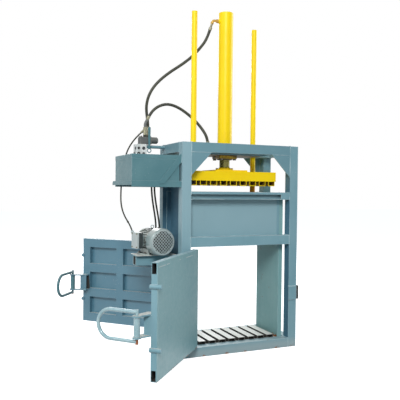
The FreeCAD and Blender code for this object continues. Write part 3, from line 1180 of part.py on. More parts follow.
def port_fittings():
    """Fittings between the valve's two ports and the hoses, and the cable's gland."""
    start = V(*HOSE_LOWER[0])
    along = heading(HOSE_LOWER)
    corner = V(PORT_A_X, start.y, start.z - (start.x - PORT_A_X) * along.z / along.x)
    riser = bar(PORT_R, (PORT_A_X, start.y, VALVE_TOP), AXIS_Z, PORT_A_TOP - VALVE_TOP)
    elbow, _, _ = pipe([(PORT_A_X, start.y, PORT_A_TOP - PORT_ELBOW_ROOT), tuple(corner),
                        tuple(start)], PORT_PIPE_D, PIPE_SHARE)
    nuts = [hexagon((PORT_A_X, start.y, VALVE_TOP), PORT_NUT_AF, PORT_NUT_H),
            hexagon((PORT_A_X, start.y, PORT_A_TOP - PORT_TOP_NUT_H), PORT_NUT_AF, PORT_TOP_NUT_H)]
    gland_dir = heading(MOTOR_CABLE) * -1
    gland = bar(GLAND_D / 2, MOTOR_CABLE[0], gland_dir, VALVE_GLAND_LENGTH)
    left = union([riser, elbow, gland] + nuts)
    x, y, top = HOSE_UPPER[-1]
    stem = bar(PORT_R, (x, y, VALVE_TOP), AXIS_Z, top - VALVE_TOP)
    nut = hexagon((x, y, VALVE_TOP), PORT_NUT_AF, PORT_NUT_H)
    save("valve_port_fittings", left, union([stem, nut]))


def cylinder_ports():
    """Brass elbow at the cylinder's top, the zinc hose stem, and the lower port's elbow."""
    end, along = V(*HOSE_UPPER[0]), heading(HOSE_UPPER)
    stem_top = end - along * STEM_LENGTH
    stem = bar(STEM_D / 2, tuple(stem_top), along, STEM_LENGTH - STEM_SOCKET)
    socket = bar(SOCKET_D / 2, tuple(end - along * STEM_SOCKET), along, STEM_SOCKET)
    save("hose_stem", union([stem, socket]))
    face = V(PRESS_X - BARREL_OD / 2 - BOSS_LENGTH, 0, UPPER_PORT_Z)
    corner_x = stem_top.x + along.x / along.z * (UPPER_PORT_Z - stem_top.z)
    elbow, _, _ = pipe([tuple(face), (corner_x, 0, UPPER_PORT_Z), tuple(stem_top)],
                       CYLINDER_ELBOW_D)
    nut = hexagon(face, PORT_NUT_AF, CYLINDER_NUT_H, V(-1, 0, 0))
    nut_low = hexagon(stem_top, STEM_NUT_AF, STEM_NUT_H, along * -1)
    upper = union([elbow, nut, nut_low])
    end, arrive = V(*HOSE_LOWER[-1]), heading(HOSE_LOWER, at_end=True)
    face = V(PRESS_X - BARREL_OD / 2 - BOSS_LENGTH, 0, LOWER_PORT_Z)
    corner_x = end.x + arrive.x / arrive.z * (LOWER_PORT_Z - end.z)
    elbow, _, _ = pipe([tuple(face), (corner_x, 0, LOWER_PORT_Z), tuple(end)],
                       CYLINDER_ELBOW_D)
    nut = hexagon(face, PORT_NUT_AF, CYLINDER_NUT_H, V(-1, 0, 0))
    save("cylinder_port_elbows", upper, union([elbow, nut]))


# ---- hoses and cable --------------------------------------------------------------
def cords():
    """The two cylinder hoses, the two tank hoses and the motor's cable."""
    cord("hose_upper", HOSE_UPPER, HOSE_D)
    cord("hose_lower", HOSE_LOWER, HOSE_D)
    cord("suction_hose", SUCTION_HOSE, TANK_HOSE_D)
    cord("return_hose", RETURN_HOSE, TANK_HOSE_D)
    cord("motor_cable", MOTOR_CABLE, CABLE_D)


posts()
beams()
chamber()
slatted_floor()
platen()
head()
cylinder()
ram()
guides()
doors()
tank()
tank_bracket()
motor_support()
motor_body()
fan_cowl()
motor_fan()
terminal_box()
pump()
valve()
cylinder_ports()
cords()
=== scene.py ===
# %% [markdown]
# # A recycling baler
# An upright press for waste: a frame of square tube, a hydraulic cylinder on the head
# that pushes a ribbed platen down, two doors on the long sides, and an oil tank, a motor
# and a hand valve on the left. The construction model gives every piece its place. This
# script gives the pieces rounded edges, weld seams, fasteners, hoses and finishes.

import json
import math

import bmesh
import bpy
from mathutils import Matrix, Vector
from mathutils.bvhtree import BVHTree

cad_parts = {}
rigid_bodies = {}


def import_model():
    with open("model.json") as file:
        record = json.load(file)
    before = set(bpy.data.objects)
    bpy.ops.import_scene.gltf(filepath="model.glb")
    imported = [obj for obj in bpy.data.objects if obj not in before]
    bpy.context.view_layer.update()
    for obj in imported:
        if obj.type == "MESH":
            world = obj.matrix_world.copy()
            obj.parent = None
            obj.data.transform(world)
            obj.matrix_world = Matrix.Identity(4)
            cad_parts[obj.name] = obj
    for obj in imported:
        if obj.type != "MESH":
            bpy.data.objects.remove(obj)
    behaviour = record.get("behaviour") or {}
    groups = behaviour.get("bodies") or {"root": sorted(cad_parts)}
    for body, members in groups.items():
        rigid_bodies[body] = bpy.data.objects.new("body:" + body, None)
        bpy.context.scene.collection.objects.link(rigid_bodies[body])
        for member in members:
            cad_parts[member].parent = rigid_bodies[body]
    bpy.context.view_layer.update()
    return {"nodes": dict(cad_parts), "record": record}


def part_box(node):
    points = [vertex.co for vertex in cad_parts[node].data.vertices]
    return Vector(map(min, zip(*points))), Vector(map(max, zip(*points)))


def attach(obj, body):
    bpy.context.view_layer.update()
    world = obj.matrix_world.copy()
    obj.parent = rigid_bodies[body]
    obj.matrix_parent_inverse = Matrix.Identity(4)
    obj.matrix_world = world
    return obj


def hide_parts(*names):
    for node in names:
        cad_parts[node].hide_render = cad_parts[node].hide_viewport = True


for leftover in list(bpy.data.objects):      # the cube and lamp of a new file
    bpy.data.objects.remove(leftover)
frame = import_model()
NODES = frame["nodes"]
BODY = {n: b for b, names in frame["record"]["behaviour"]["bodies"].items() for n in names}
SLOT = {row["node"]: row["material_slot"] for row in frame["record"]["subparts"]}
MM = 0.001


def new_object(title, data):
    """An object of this data, linked to the scene."""
    made = bpy.data.objects.new(title, data)
    bpy.context.scene.collection.objects.link(made)
    return made


# %% [markdown]
# ## The camera
# The photograph was taken from the front left, with the eye at chest height. The place
# and the turn come from lines that are upright or level on the real frame. A camera
# matrix has the right, up and backward directions as its columns.

# %% Place the camera
PHOTO_PIXELS = 400
FOCAL_PIXELS = 568.15
SENSOR_WIDTH = 36.0
EYE = Vector((-2.2130, -4.5334, 1.3749))
YAW, PITCH, ROLL = (math.radians(a) for a in (23.191, -1.063, 0.607))

camera_data = bpy.data.cameras.new("photo_camera")
camera_data.sensor_width = SENSOR_WIDTH
camera_data.lens = FOCAL_PIXELS / PHOTO_PIXELS * SENSOR_WIDTH
camera = new_object("photo_camera", camera_data)
forward = Vector((math.sin(YAW) * math.cos(PITCH), math.cos(YAW) * math.cos(PITCH),
                  math.sin(PITCH)))
level = Vector((math.cos(YAW), -math.sin(YAW), 0))
upright = level.cross(forward)
right = level * math.cos(ROLL) + upright * math.sin(ROLL)
up = upright * math.cos(ROLL) - level * math.sin(ROLL)
turn = Matrix((right, up, -forward)).transposed()
camera.matrix_world = Matrix.Translation(EYE) @ turn.to_4x4()
bpy.context.scene.camera = camera
bpy.context.scene.view_settings.view_transform = "Standard"
print("lens", round(camera_data.lens, 2), "mm")

# %% [markdown]
# ## Hoses and the motor's cable
# Two pressure hoses run from the hand valve to the ends of the cylinder, a suction hose
# and a return hose hang from the tank to the pump, and one cable goes to the motor's
# terminal box. Each route is written in millimetres, with the hose's diameter and length.
# A hose is a curve with a round section. The NURBS line stays smooth with few points,
# where a polyline would look like bent wire.

# %% Draw each hose through its route
ROUTES = {
    "hose_upper": (25, 1.109, "stiff", [
        (-196, 0, 2757), (-223, 0, 2678), (-272, 20, 2604), (-345, 39, 2520), (-432, 56, 2449),
        (-522, 70, 2387), (-605, 82, 2320), (-672, 95, 2246), (-711, 114, 2168), (-721, 142, 2088),
        (-707, 170, 2014), (-691, 180, 1945), (-691, 180, 1878)]),
    "hose_lower": (25, 0.773, "stiff", [
        (-712, 140, 1968), (-690, 140, 2010), (-652, 137, 2062), (-594, 127, 2100),
        (-527, 112, 2112), (-449, 96, 2088), (-370, 80, 2038), (-300, 58, 1975), (-244, 26, 1900),
        (-208, 0, 1826), (-200, 0, 1760)]),
    "suction_hose": (16, 0.447, "stiff", [
        (-654, 180, 1426), (-654, 180, 1365), (-643, 190, 1290), (-626, 202, 1210),
        (-607, 216, 1130), (-593, 231, 1055), (-590, 242, 990)]),
    "return_hose": (16, 0.503, "stiff", [
        (-628, 180, 1426), (-628, 180, 1365), (-618, 184, 1290), (-602, 190, 1210),
        (-584, 197, 1130), (-570, 205, 1055), (-565, 213, 985), (-566, 219, 930)]),
    "motor_cable": (13, 0.974, "medium", [
        (-752, 175, 1860), (-776, 205, 1832), (-805, 240, 1790), (-838, 268, 1730),
        (-864, 286, 1650), (-882, 292, 1560), (-892, 291, 1460), (-899, 282, 1360),
        (-906, 262, 1270), (-903, 228, 1196), (-893, 180, 1140), (-880, 130, 1098),
        (-867, 92, 1060), (-858, 72, 1022)]),
}
CORD_ROUND = 4              # rounds the section: more gives it more sides
CORD_ORDER, CORD_STEPS = 3, 12      # how softly the line bends, and its points per stretch


def draw_cord(title, diameter, points):
    """A smooth curve with the route's points as its control points."""
    data = bpy.data.curves.new(title, "CURVE")
    data.dimensions = "3D"
    line = data.splines.new("NURBS")
    line.points.add(len(points) - 1)
    for spot, place in zip(line.points, points):
        spot.co = (*(c * MM for c in place), 1)
    line.order_u = CORD_ORDER
    line.use_endpoint_u = True
    line.resolution_u = CORD_STEPS
    data.bevel_depth = diameter / 2 * MM
    data.bevel_resolution = CORD_ROUND
    data.use_fill_caps = True
    return new_object(title, data)


cords = {}
for node_name, (diameter, length, _, points) in ROUTES.items():
    cords[node_name] = draw_cord(node_name + "_line", diameter, points)
    print(node_name, length, "m of", diameter, "mm")


def line_of(cord):
    """The points along a cord's own line, read from it without its thickness."""
    bare = cord.data.copy()
    bare.bevel_depth = 0
    carrier = new_object("bare_line", bare)
    mesh = bpy.data.meshes.new_from_object(carrier.evaluated_get(
        bpy.context.evaluated_depsgraph_get()))
    found = [v.co.copy() for v in mesh.vertices]
    bpy.data.objects.remove(carrier)
    bpy.data.curves.remove(bare)
    bpy.data.meshes.remove(mesh)
    return found


# %% [markdown]
# ## How a finish is wired
# A finish is a small network of nodes. Wiring one by hand takes many lines, so one
# helper adds a node, sets it and links what is given as a socket.

# %% A helper that adds and links one node
def add(tree, kind, settings=None, inputs=None):
    """Adds a node. Inputs are named or numbered, and hold a value or another's socket."""
    made = tree.nodes.new(kind)
    for key, value in (settings or {}).items():
        setattr(made, key, value)
    for key, value in (inputs or {}).items():
        socket = made.inputs[key]
        if isinstance(value, bpy.types.NodeSocket):
            tree.links.new(value, socket)
        else:
            socket.default_value = value
    return made


# %% [markdown]
# ## Coats of a finish
# Workshop paint is never one colour. It clouds slowly from place to place, carries
# streaks where water ran, dust on what faces up, and rust near the floor. Each of these
# is one coat: a mask from a noise in the piece's own metres, and a colour that it lets in.

# %% Masks and coats
def object_noise(tree, where, scale, detail=4.0, rough=0.55, stretch=(1, 1, 1)):
    """Cloudy pattern in the object's own metres, stretched along an axis if asked."""
    mapped = where
    if stretch != (1, 1, 1):
        mapped = add(tree, "ShaderNodeMapping", None, {
            "Vector": where, "Scale": stretch}).outputs[0]
    noise = add(tree, "ShaderNodeTexNoise", None, {
        "Vector": mapped, "Scale": scale, "Detail": detail, "Roughness": rough})
    return noise.outputs["Fac"]


def ramp(tree, value, low, high, bottom=0.0, top=1.0):
    """Maps a value from one range to another, smoothly and without leaving it."""
    return add(tree, "ShaderNodeMapRange", {"interpolation_type": "SMOOTHSTEP"}, {
        "Value": value, "From Min": low, "From Max": high,
        "To Min": bottom, "To Max": top}).outputs[0]


def maths(tree, operation, a, b):
    """One sum on two numbers or sockets."""
    return add(tree, "ShaderNodeMath", {"operation": operation}, {0: a, 1: b}).outputs[0]


def blend_colour(tree, mask, under, over):
    """Lets one colour in over another where the mask says."""
    settings = {"data_type": "RGBA", "blend_type": "MIX"}
    return add(tree, "ShaderNodeMix", settings, {0: mask, 6: under, 7: over}).outputs[2]


# %% [markdown]
# ## One recipe for every finish
# The coats lie in the order in which they came on the machine: clouds in the colour, dark
# runs or brush marks, dust, chips, a tint that fades across a band of height, rust, and the fine
# relief of the surface. That tint is a dusty stain at the frame's foot, painted shade on the yellow
# under the platen and a painted sheen high on the front-left post and the feed panel. A span gives
# the part of a noise over which a coat comes in, so a narrow span gives a sharp rim. A noise is a
# scale, its octaves, its roughness and its stretch.

# %% The recipe and its patterns
CLOUD_SPAN = (0.32, 0.68)
GLOSS_FINER, GLOSS_NOISE, GLOSS_SPAN, GLOSS_SWING = 14, (5.0, 0.6), (0.25, 0.75), (-0.07, 0.09)
RUN_NOISE, RUN_SPAN, RUN_SHADE = (34.0, 3.0, 0.5, (1, 1, 0.045)), (0.55, 0.80), 0.62
BRUSH_NOISE, BRUSH_SPAN, BRUSH_SHARE = (60.0, 4.0, 0.7), (0.3, 0.7), 0.45
BRUSH_SHADE, BRUSH_SWING = 0.55, (-0.06, 0.08)
DUST, DUST_DULLS = (0.62, 0.60, 0.54, 1), 0.3
DUST_TILT = (0.35, 0.95)            # from a steep face, where none stays, to a level one
DUST_SCALE, DUST_SPAN, DUST_LEAST = 9.0, (0.35, 0.7), 0.25
CHIP, CHIP_SCALE, CHIP_RIM = (0.60, 0.62, 0.60, 1), 46.0, (0.05, 0.13)
CHIPPED_SCALE, CHIPPED_SPAN = 5.0, (0.5, 0.62)      # the patches that have chips
RUST_DARK, RUST_LIGHT, RUST_DULLS = (0.11, 0.035, 0.012, 1), (0.42, 0.16, 0.045, 1), 0.35
RUST_NOISE, RUST_FOOT_GAIN = (16.0, 7.0, 0.68), 0.27
RUST_RIM, RUST_CORE = (0.80, 0.22), (0.88, 0.18)    # a level, and what more rust takes off it
RUST_GRAIN, RUST_GRAIN_SPAN = (120.0, 6.0), (0.3, 0.7)
COAT_ROUGHNESS = 0.12
GRAIN_NOISE, GRAIN_HEIGHT = (3.0, 0.6), 0.0006
RIPPLE_NOISE, RIPPLE_HEIGHT = (4.5, 2.0, 0.4), 0.004


def finish(title, colour, cloud, roughness, metallic=0.0, cloud_scale=2.2, streak=0.0, dust=0.0,
           rust=0.0, rust_foot=None, speck=0.0, grain=0.0, grain_scale=350.0, coat=0.0,
           brushed=None, ripple=0.0, stain_and_painted_light=None, specular=0.5):
    """A layered finish: colour, clouds, streaks, dust, chips, rust and fine relief."""
    material = bpy.data.materials.new(title)
    material.use_nodes = True
    tree = material.node_tree
    shader = tree.nodes["Principled BSDF"]
    where = add(tree, "ShaderNodeTexCoord").outputs["Object"]
    clouds = ramp(tree, object_noise(tree, where, cloud_scale), *CLOUD_SPAN)
    tone = blend_colour(tree, clouds, (*colour, 1), (*cloud, 1))
    fine = object_noise(tree, where, cloud_scale * GLOSS_FINER, *GLOSS_NOISE)
    gloss = ramp(tree, fine, *GLOSS_SPAN, *(roughness + swing for swing in GLOSS_SWING))
    metal = None
    if streak:
        runs = object_noise(tree, where, *RUN_NOISE)
        tone = blend_colour(tree, ramp(tree, runs, *RUN_SPAN, 0.0, streak), tone,
                            (*(c * RUN_SHADE for c in colour), 1))
    if brushed:
        lines = object_noise(tree, where, *BRUSH_NOISE, brushed)
        tone = blend_colour(tree, ramp(tree, lines, *BRUSH_SPAN, 0.0, BRUSH_SHARE), tone,
                            (*(c * BRUSH_SHADE for c in colour), 1))
        gloss = maths(tree, "ADD", gloss, ramp(tree, lines, *BRUSH_SPAN, *BRUSH_SWING))
    if dust:
        facing = add(tree, "ShaderNodeSeparateXYZ", None, {
            0: add(tree, "ShaderNodeNewGeometry").outputs["Normal"]}).outputs["Z"]
        settled = maths(tree, "MULTIPLY", ramp(tree, facing, *DUST_TILT), ramp(
            tree, object_noise(tree, where, DUST_SCALE), *DUST_SPAN, DUST_LEAST, 1.0))
        settled = maths(tree, "MULTIPLY", settled, dust)
        tone = blend_colour(tree, settled, tone, DUST)
        gloss = maths(tree, "ADD", gloss, maths(tree, "MULTIPLY", settled, DUST_DULLS))
    if speck:
        cells = add(tree, "ShaderNodeTexVoronoi", None, {
            "Vector": where, "Scale": CHIP_SCALE, "Randomness": 1.0}).outputs["Distance"]
        patch = ramp(tree, object_noise(tree, where, CHIPPED_SCALE), *CHIPPED_SPAN)
        chips = maths(tree, "MULTIPLY", ramp(tree, cells, *CHIP_RIM, 1.0, 0.0), patch)
        tone = blend_colour(tree, maths(tree, "MULTIPLY", chips, speck), tone, CHIP)
    # a tint that fades across a band of height: a dusty stain on the frame, painted shade on the
    # yellow, a painted sheen on the front-left post and the feed panel
    if stain_and_painted_light:
        low, high, over, much = stain_and_painted_light
        height = add(tree, "ShaderNodeSeparateXYZ", None, {0: where}).outputs["Z"]
        tone = blend_colour(tree, ramp(tree, height, low, high, much, 0.0), tone, (*over, 1))
    if rust:
        spots = object_noise(tree, where, *RUST_NOISE)
        if rust_foot:
            height = add(tree, "ShaderNodeSeparateXYZ", None, {0: where}).outputs["Z"]
            spots = maths(tree, "ADD", spots, ramp(
                tree, height, *rust_foot, RUST_FOOT_GAIN, 0.0))
        eaten = ramp(tree, spots, *(at - less * rust for at, less in (RUST_RIM, RUST_CORE)))
        mottle = ramp(tree, object_noise(tree, where, *RUST_GRAIN), *RUST_GRAIN_SPAN)
        brown = blend_colour(tree, mottle, RUST_DARK, RUST_LIGHT)
        tone = blend_colour(tree, eaten, tone, brown)
        gloss = maths(tree, "ADD", gloss, maths(tree, "MULTIPLY", eaten, RUST_DULLS))
        if metallic:
            metal = maths(tree, "SUBTRACT", metallic, maths(tree, "MULTIPLY", eaten, metallic))
    tree.links.new(tone, shader.inputs["Base Color"])
    tree.links.new(gloss, shader.inputs["Roughness"])
    if metal is None:
        shader.inputs["Metallic"].default_value = metallic
    else:
        tree.links.new(metal, shader.inputs["Metallic"])
    shader.inputs["Coat Weight"].default_value = coat
    shader.inputs["Coat Roughness"].default_value = COAT_ROUGHNESS
    shader.inputs["Specular IOR Level"].default_value = specular
    relief = object_noise(tree, where, grain_scale, *GRAIN_NOISE)
    bump = add(tree, "ShaderNodeBump", None, {
        "Height": relief, "Strength": grain, "Distance": GRAIN_HEIGHT})
    if ripple:
        waves = object_noise(tree, where, *RIPPLE_NOISE)
        bump = add(tree, "ShaderNodeBump", None, {
            "Height": waves, "Strength": ripple, "Distance": RIPPLE_HEIGHT,
            "Normal": bump.outputs[0]})
    tree.links.new(bump.outputs[0], shader.inputs["Normal"])
    return material


# %% [markdown]
# ## The finishes of this machine
# Blue-grey enamel on the frame, with dust on top and rust at the foot; the same enamel paler on
# folded edges, partly worn and partly a painted highlight; glossy yellow on the press; bright
# slats;
# greenish grey on the motor; zinc, brass and cast iron at the valve; black rubber hoses. The inside
# finishes are painted shade for hollows that no spray gun and little light reach, on the frame over
# the bare mill scale of its tubes. The accents are for pieces or single faces that differ from
# their
# neighbours: a darker tank and a scuffed wall, and painted light: painted shade on the rear door,
# on the top beams and in patches on the cylinder flange, a painted sheen on the front-left post and
# the feed panel, and a painted reflection tint on the front door.

# %% Make the finishes
FINISHES = {
    "frame_paint": finish("blue_grey_enamel", (0.152, 0.298, 0.352), (0.188, 0.335, 0.385), 0.40,
                          streak=0.20, dust=0.30, rust=0.12, rust_foot=(0.0, 0.075), speck=0.75,
                          grain=0.10, coat=0.05, ripple=0.06, specular=0.35,
                          stain_and_painted_light=(0.03, 0.10, (0.42, 0.47, 0.46), 0.45)),
    "press_paint": finish("yellow_enamel", (0.96, 0.70, 0.003), (0.93, 0.64, 0.004), 0.38,
                          streak=0.08, dust=0.04, grain=0.06, ripple=0.03, specular=0.25,
                          # below the platen's bottom the yellow turns orange: painted shade on the
                          # guide rods under the platen
                          stain_and_painted_light=(1.400, 1.409, (1.0, 0.38, 0.004), 1.0)),
    "slat_steel": finish("walked_slat_steel", (0.86, 0.87, 0.82), (0.70, 0.71, 0.66), 0.42,
                         cloud_scale=5.0, rust=0.30, grain=0.25,
                         brushed=(1, 0.05, 1)),
    # olive base on the chrome: an oil film and a painted reflection of the yellow press around it
    "rod_chrome": finish("chrome_oil_and_painted_reflection", (0.24, 0.22, 0.07), (0.13, 0.12, 0.04), 0.22,
                         metallic=0.8, cloud_scale=7.0, grain=0.02, brushed=(0.04, 0.04, 1)),
    "motor_paint": finish("motor_enamel", (0.20, 0.275, 0.280), (0.27, 0.345, 0.340), 0.32,
                          streak=0.15, dust=0.60, speck=0.4, grain=0.12, grain_scale=260.0,
                          coat=0.60),
    "hose_rubber": finish("hose_cover", (0.026, 0.028, 0.020), (0.050, 0.052, 0.034), 0.50,
                          dust=0.10, specular=0.35, cloud_scale=6.0, grain=0.30, grain_scale=900.0),
    "zinc_plate": finish("zinc_plate", (0.30, 0.29, 0.20), (0.20, 0.19, 0.13), 0.40,
                         metallic=0.60, cloud_scale=12.0, grain=0.10, dust=0.15),
    "brass": finish("dull_brass", (0.66, 0.42, 0.12), (0.45, 0.27, 0.07), 0.32,
                    metallic=0.9, cloud_scale=20.0, grain=0.12),
    "valve_iron": finish("cast_iron", (0.085, 0.092, 0.092), (0.13, 0.135, 0.13), 0.58,
                         metallic=0.2, cloud_scale=14.0, grain=0.9, grain_scale=420.0, dust=0.2),
    "bolt_steel": finish("black_bolt_steel", (0.12, 0.118, 0.11), (0.20, 0.19, 0.17), 0.40,
                         metallic=0.7, cloud_scale=25.0, grain=0.2, rust=0.25),
}
# paler edge finishes: worn paint with chips and rust, and a painted highlight along the rounded
# edges and the weld beads
WORN_AND_HIGHLIT = {
    "frame_paint": finish("worn_and_highlit_enamel_edge", (0.42, 0.54, 0.56), (0.185, 0.315, 0.360), 0.40,
                          cloud_scale=9.0, rust=0.35, rust_foot=(0.0, 0.16), speck=1.0,
                          grain=0.1),
    "press_paint": finish("worn_and_highlit_yellow_edge", (0.93, 0.70, 0.02), (0.84, 0.60, 0.02), 0.36,
                          cloud_scale=9.0, speck=0.3, grain=0.08, specular=0.25),
}
# near-black finishes for hollows and for faces that the light misses: painted shade, on the frame
# also the bare mill scale inside the tubes
PAINTED_SHADE = {
    "frame_paint": finish("mill_scale_and_painted_shade", (0.030, 0.036, 0.040), (0.055, 0.050, 0.045), 0.62,
                          cloud_scale=8.0, grain=0.5),
    "press_paint": finish("painted_shade_yellow_hollow", (0.16, 0.090, 0.008), (0.26, 0.150, 0.010), 0.45,
                          cloud_scale=8.0, grain=0.3),
    "slat_steel": finish("painted_shade_slat_side", (0.016, 0.015, 0.014), (0.040, 0.034, 0.028), 0.70,
                         cloud_scale=8.0, grain=0.5),
    "motor_paint": finish("painted_shade_motor_groove", (0.024, 0.036, 0.038), (0.050, 0.060, 0.058), 0.70,
                          cloud_scale=12.0, grain=0.5),
}
ACCENTS = {
    "tank": finish("tank_enamel", (0.074, 0.180, 0.205), (0.108, 0.224, 0.246), 0.38,
                   cloud_scale=3.0, dust=0.35, speck=0.4, grain=0.08, ripple=0.08,
                   specular=0.30),
    # the top beams: the frame's enamel darker, as painted shade
    "upper": finish("upper_beam_painted_shade", (0.128, 0.250, 0.296), (0.150, 0.280, 0.325), 0.42,
                    streak=0.15, dust=0.35, speck=0.6, grain=0.10, ripple=0.06, specular=0.30),
    # the front latch handle: a paler, glossier enamel than the frame's
    "handle": finish("pale_handle_enamel", (0.200, 0.345, 0.385), (0.300, 0.440, 0.470), 0.26,
                     cloud_scale=12.0, speck=0.6, grain=0.08, coat=0.4),
    # the front-left post and the feed panel: the frame's enamel lighter, a painted sheen that grows
    # toward the top
    "sheen_lit": finish("painted_sheen_enamel", (0.172, 0.312, 0.362), (0.215, 0.360, 0.410), 0.38,
                    streak=0.15, dust=0.30, speck=0.6, grain=0.10, ripple=0.10, specular=0.4,
                    stain_and_painted_light=(1.20, 0.55, (0.245, 0.385, 0.430), 0.75)),
    # the front door's sheet: the frame's enamel tinted greener as a painted reflection, with real
    # rust along its foot
    "door": finish("door_sheet_reflection_tint", (0.150, 0.305, 0.335), (0.185, 0.342, 0.365), 0.38,
                   streak=0.20, dust=0.30, rust=0.45, rust_foot=(0.100, 0.114), speck=0.8,
                   grain=0.10, ripple=0.12, specular=0.35),
    "dusty": finish("dusty_motor_enamel", (0.30, 0.37, 0.36), (0.44, 0.49, 0.46), 0.42,
                    cloud_scale=9.0, dust=0.9, speck=0.4, grain=0.15, coat=0.2),
    "wall": finish("scuffed_wall_enamel", (0.195, 0.372, 0.375), (0.235, 0.415, 0.415), 0.50,
                   streak=0.25, rust=0.75, rust_foot=(0.062, 0.105), speck=0.5, grain=0.12,
                   specular=0.25),
    # the cylinder flange: yellow with dark patches, painted shade under the top beams
    "flange_shade": finish("shade_patched_yellow", (0.80, 0.53, 0.006), (0.030, 0.026, 0.012), 0.34,
                   cloud_scale=16.0, grain=0.1),
    "tip": finish("rusted_tip", (0.42, 0.15, 0.06), (0.28, 0.09, 0.035), 0.75,
                  cloud_scale=40.0, grain=0.5),
    # the rear door: the frame's enamel darker and bluer as painted shade, with real dust and rust
    "blue": finish("fresh_blue_enamel", (0.078, 0.190, 0.255), (0.098, 0.218, 0.285), 0.36,
                   dust=0.45, rust=0.15, speck=0.5, grain=0.08, coat=0.2, ripple=0.06),
    "dark": finish("shaded_blue_enamel", (0.058, 0.142, 0.205), (0.074, 0.165, 0.228), 0.5,
                   grain=0.15, dust=0.2, specular=0.25),
    "bright": finish("machined_block", (0.70, 0.72, 0.71), (0.50, 0.53, 0.52), 0.34,
                     metallic=0.2, cloud_scale=16.0, dust=0.1, grain=0.15),
    "pale": finish("pale_grey_enamel", (0.40, 0.47, 0.47), (0.48, 0.53, 0.52), 0.34,
                   streak=0.2, dust=0.2, speck=0.3, grain=0.12, coat=0.2),
    "chalky": finish("chalky_paint", (0.52, 0.53, 0.49), (0.38, 0.40, 0.38), 0.6,
                     cloud_scale=14.0, rust=0.55, grain=0.4),
    "rusty": finish("rusty_strip", (0.33, 0.26, 0.20), (0.42, 0.38, 0.33), 0.7,
                    cloud_scale=18.0, rust=0.9, grain=0.6),
}
print(len(FINISHES) + len(WORN_AND_HIGHLIT) + len(PAINTED_SHADE) + len(ACCENTS), "finishes")

# %% [markdown]
# ## Rounding what the construction model leaves sharp
# Every folded, cut or cast edge on the machine is round by a millimetre or more, and that
# is where light catches it. A copy of the node is merged and its flat faces joined; a
# Bevel modifier rounds what turns by more than 30 degrees and gives the round strip the
# paler edge finish, partly real wear and partly a painted highlight, and Weighted Normal keeps
# the flats flat. The copy then stands for the node.
#
# No sprayer reaches into a tube, and little light reaches into it. A ray leaves the middle of each
# face along its normal: where it soon meets the same piece again, the face is the inside of a tube,
# a channel or a slot, and it gets a near-black finish: painted shade, which on the frame also
# stands for the bare mill scale inside its tubes.

# %% A softened copy of a construction node
SHARP_TURN, FLAT_TURN = math.radians(30), math.radians(0.4)
MERGE, BEVEL_STEPS = 1e-5, 2
WORN_AND_HIGHLIT_EDGE, SHADED_HOLLOW = 1, 2    # a softened piece's material slots, after its own paint in 0
INSIDE_DEPTH = 0.078        # a wall nearer than this is the other side of a hollow
ALL_OUTSIDE = {"tank_bracket", "latch_handle_front", "latch_handle_rear", "valve_lever",
               "door_skin_front", "door_skin_rear"}
# some own paints are painted light: painted shade on the top beams, the rear door and the cylinder
# flange, a painted sheen on the front-left post and the feed panel, a painted reflection tint on
# the front door's sheet
OWN_PAINT = {"oil_tank": "tank", "tank_lid": "tank", "tank_bracket": "tank",
             "door_frame_rear": "blue", "door_skin_rear": "blue", "valve_lever": "tank",
             "latch_handle_front": "handle", "latch_handle_rear": "tank",
             "valve_manifold": "bright", "chamber_wall_right": "wall", "motor_body": "dusty",
             "post_front_left": "sheen_lit", "feed_panel_front": "sheen_lit", "door_skin_front": "door",
             "cylinder_flange": "flange_shade", "top_beam_front": "upper", "top_beam_left": "upper",
             "top_beam_right": "upper", "top_beam_rear": "upper"}
PLAIN_EDGES = {"tank_bracket"}      # its edges keep its own paint
KEEP_TRIANGLES = {"door_frame_front", "door_frame_rear"}     # a joined face has no windows
LIFT_OFF = 0.0004           # a ray starts this far from its own face


def flatten(carrier, title):
    """The evaluated object as a plain mesh object without modifiers."""
    graph = bpy.context.evaluated_depsgraph_get()
    mesh = bpy.data.meshes.new_from_object(carrier.evaluated_get(graph), depsgraph=graph)
    mesh.name = title
    plain = new_object(title, mesh)
    old = carrier.data
    bpy.data.objects.remove(carrier)
    bpy.data.meshes.remove(old)
    return plain


def faces_a_wall(tree, centre, normal):
    """Whether a ray from a face soon meets the same piece again."""
    return tree.ray_cast(centre + normal * LIFT_OFF, normal, INSIDE_DEPTH)[0] is not None


def merged(node_name):
    """A node's mesh without double points and with its flat faces joined."""
    work = bmesh.new()
    work.from_mesh(NODES[node_name].data)
    bmesh.ops.remove_doubles(work, verts=work.verts, dist=MERGE)
    if node_name not in KEEP_TRIANGLES:
        bmesh.ops.dissolve_limit(work, angle_limit=FLAT_TURN, verts=work.verts,
                                 edges=work.edges, delimit=set())
    work.normal_update()
    return work


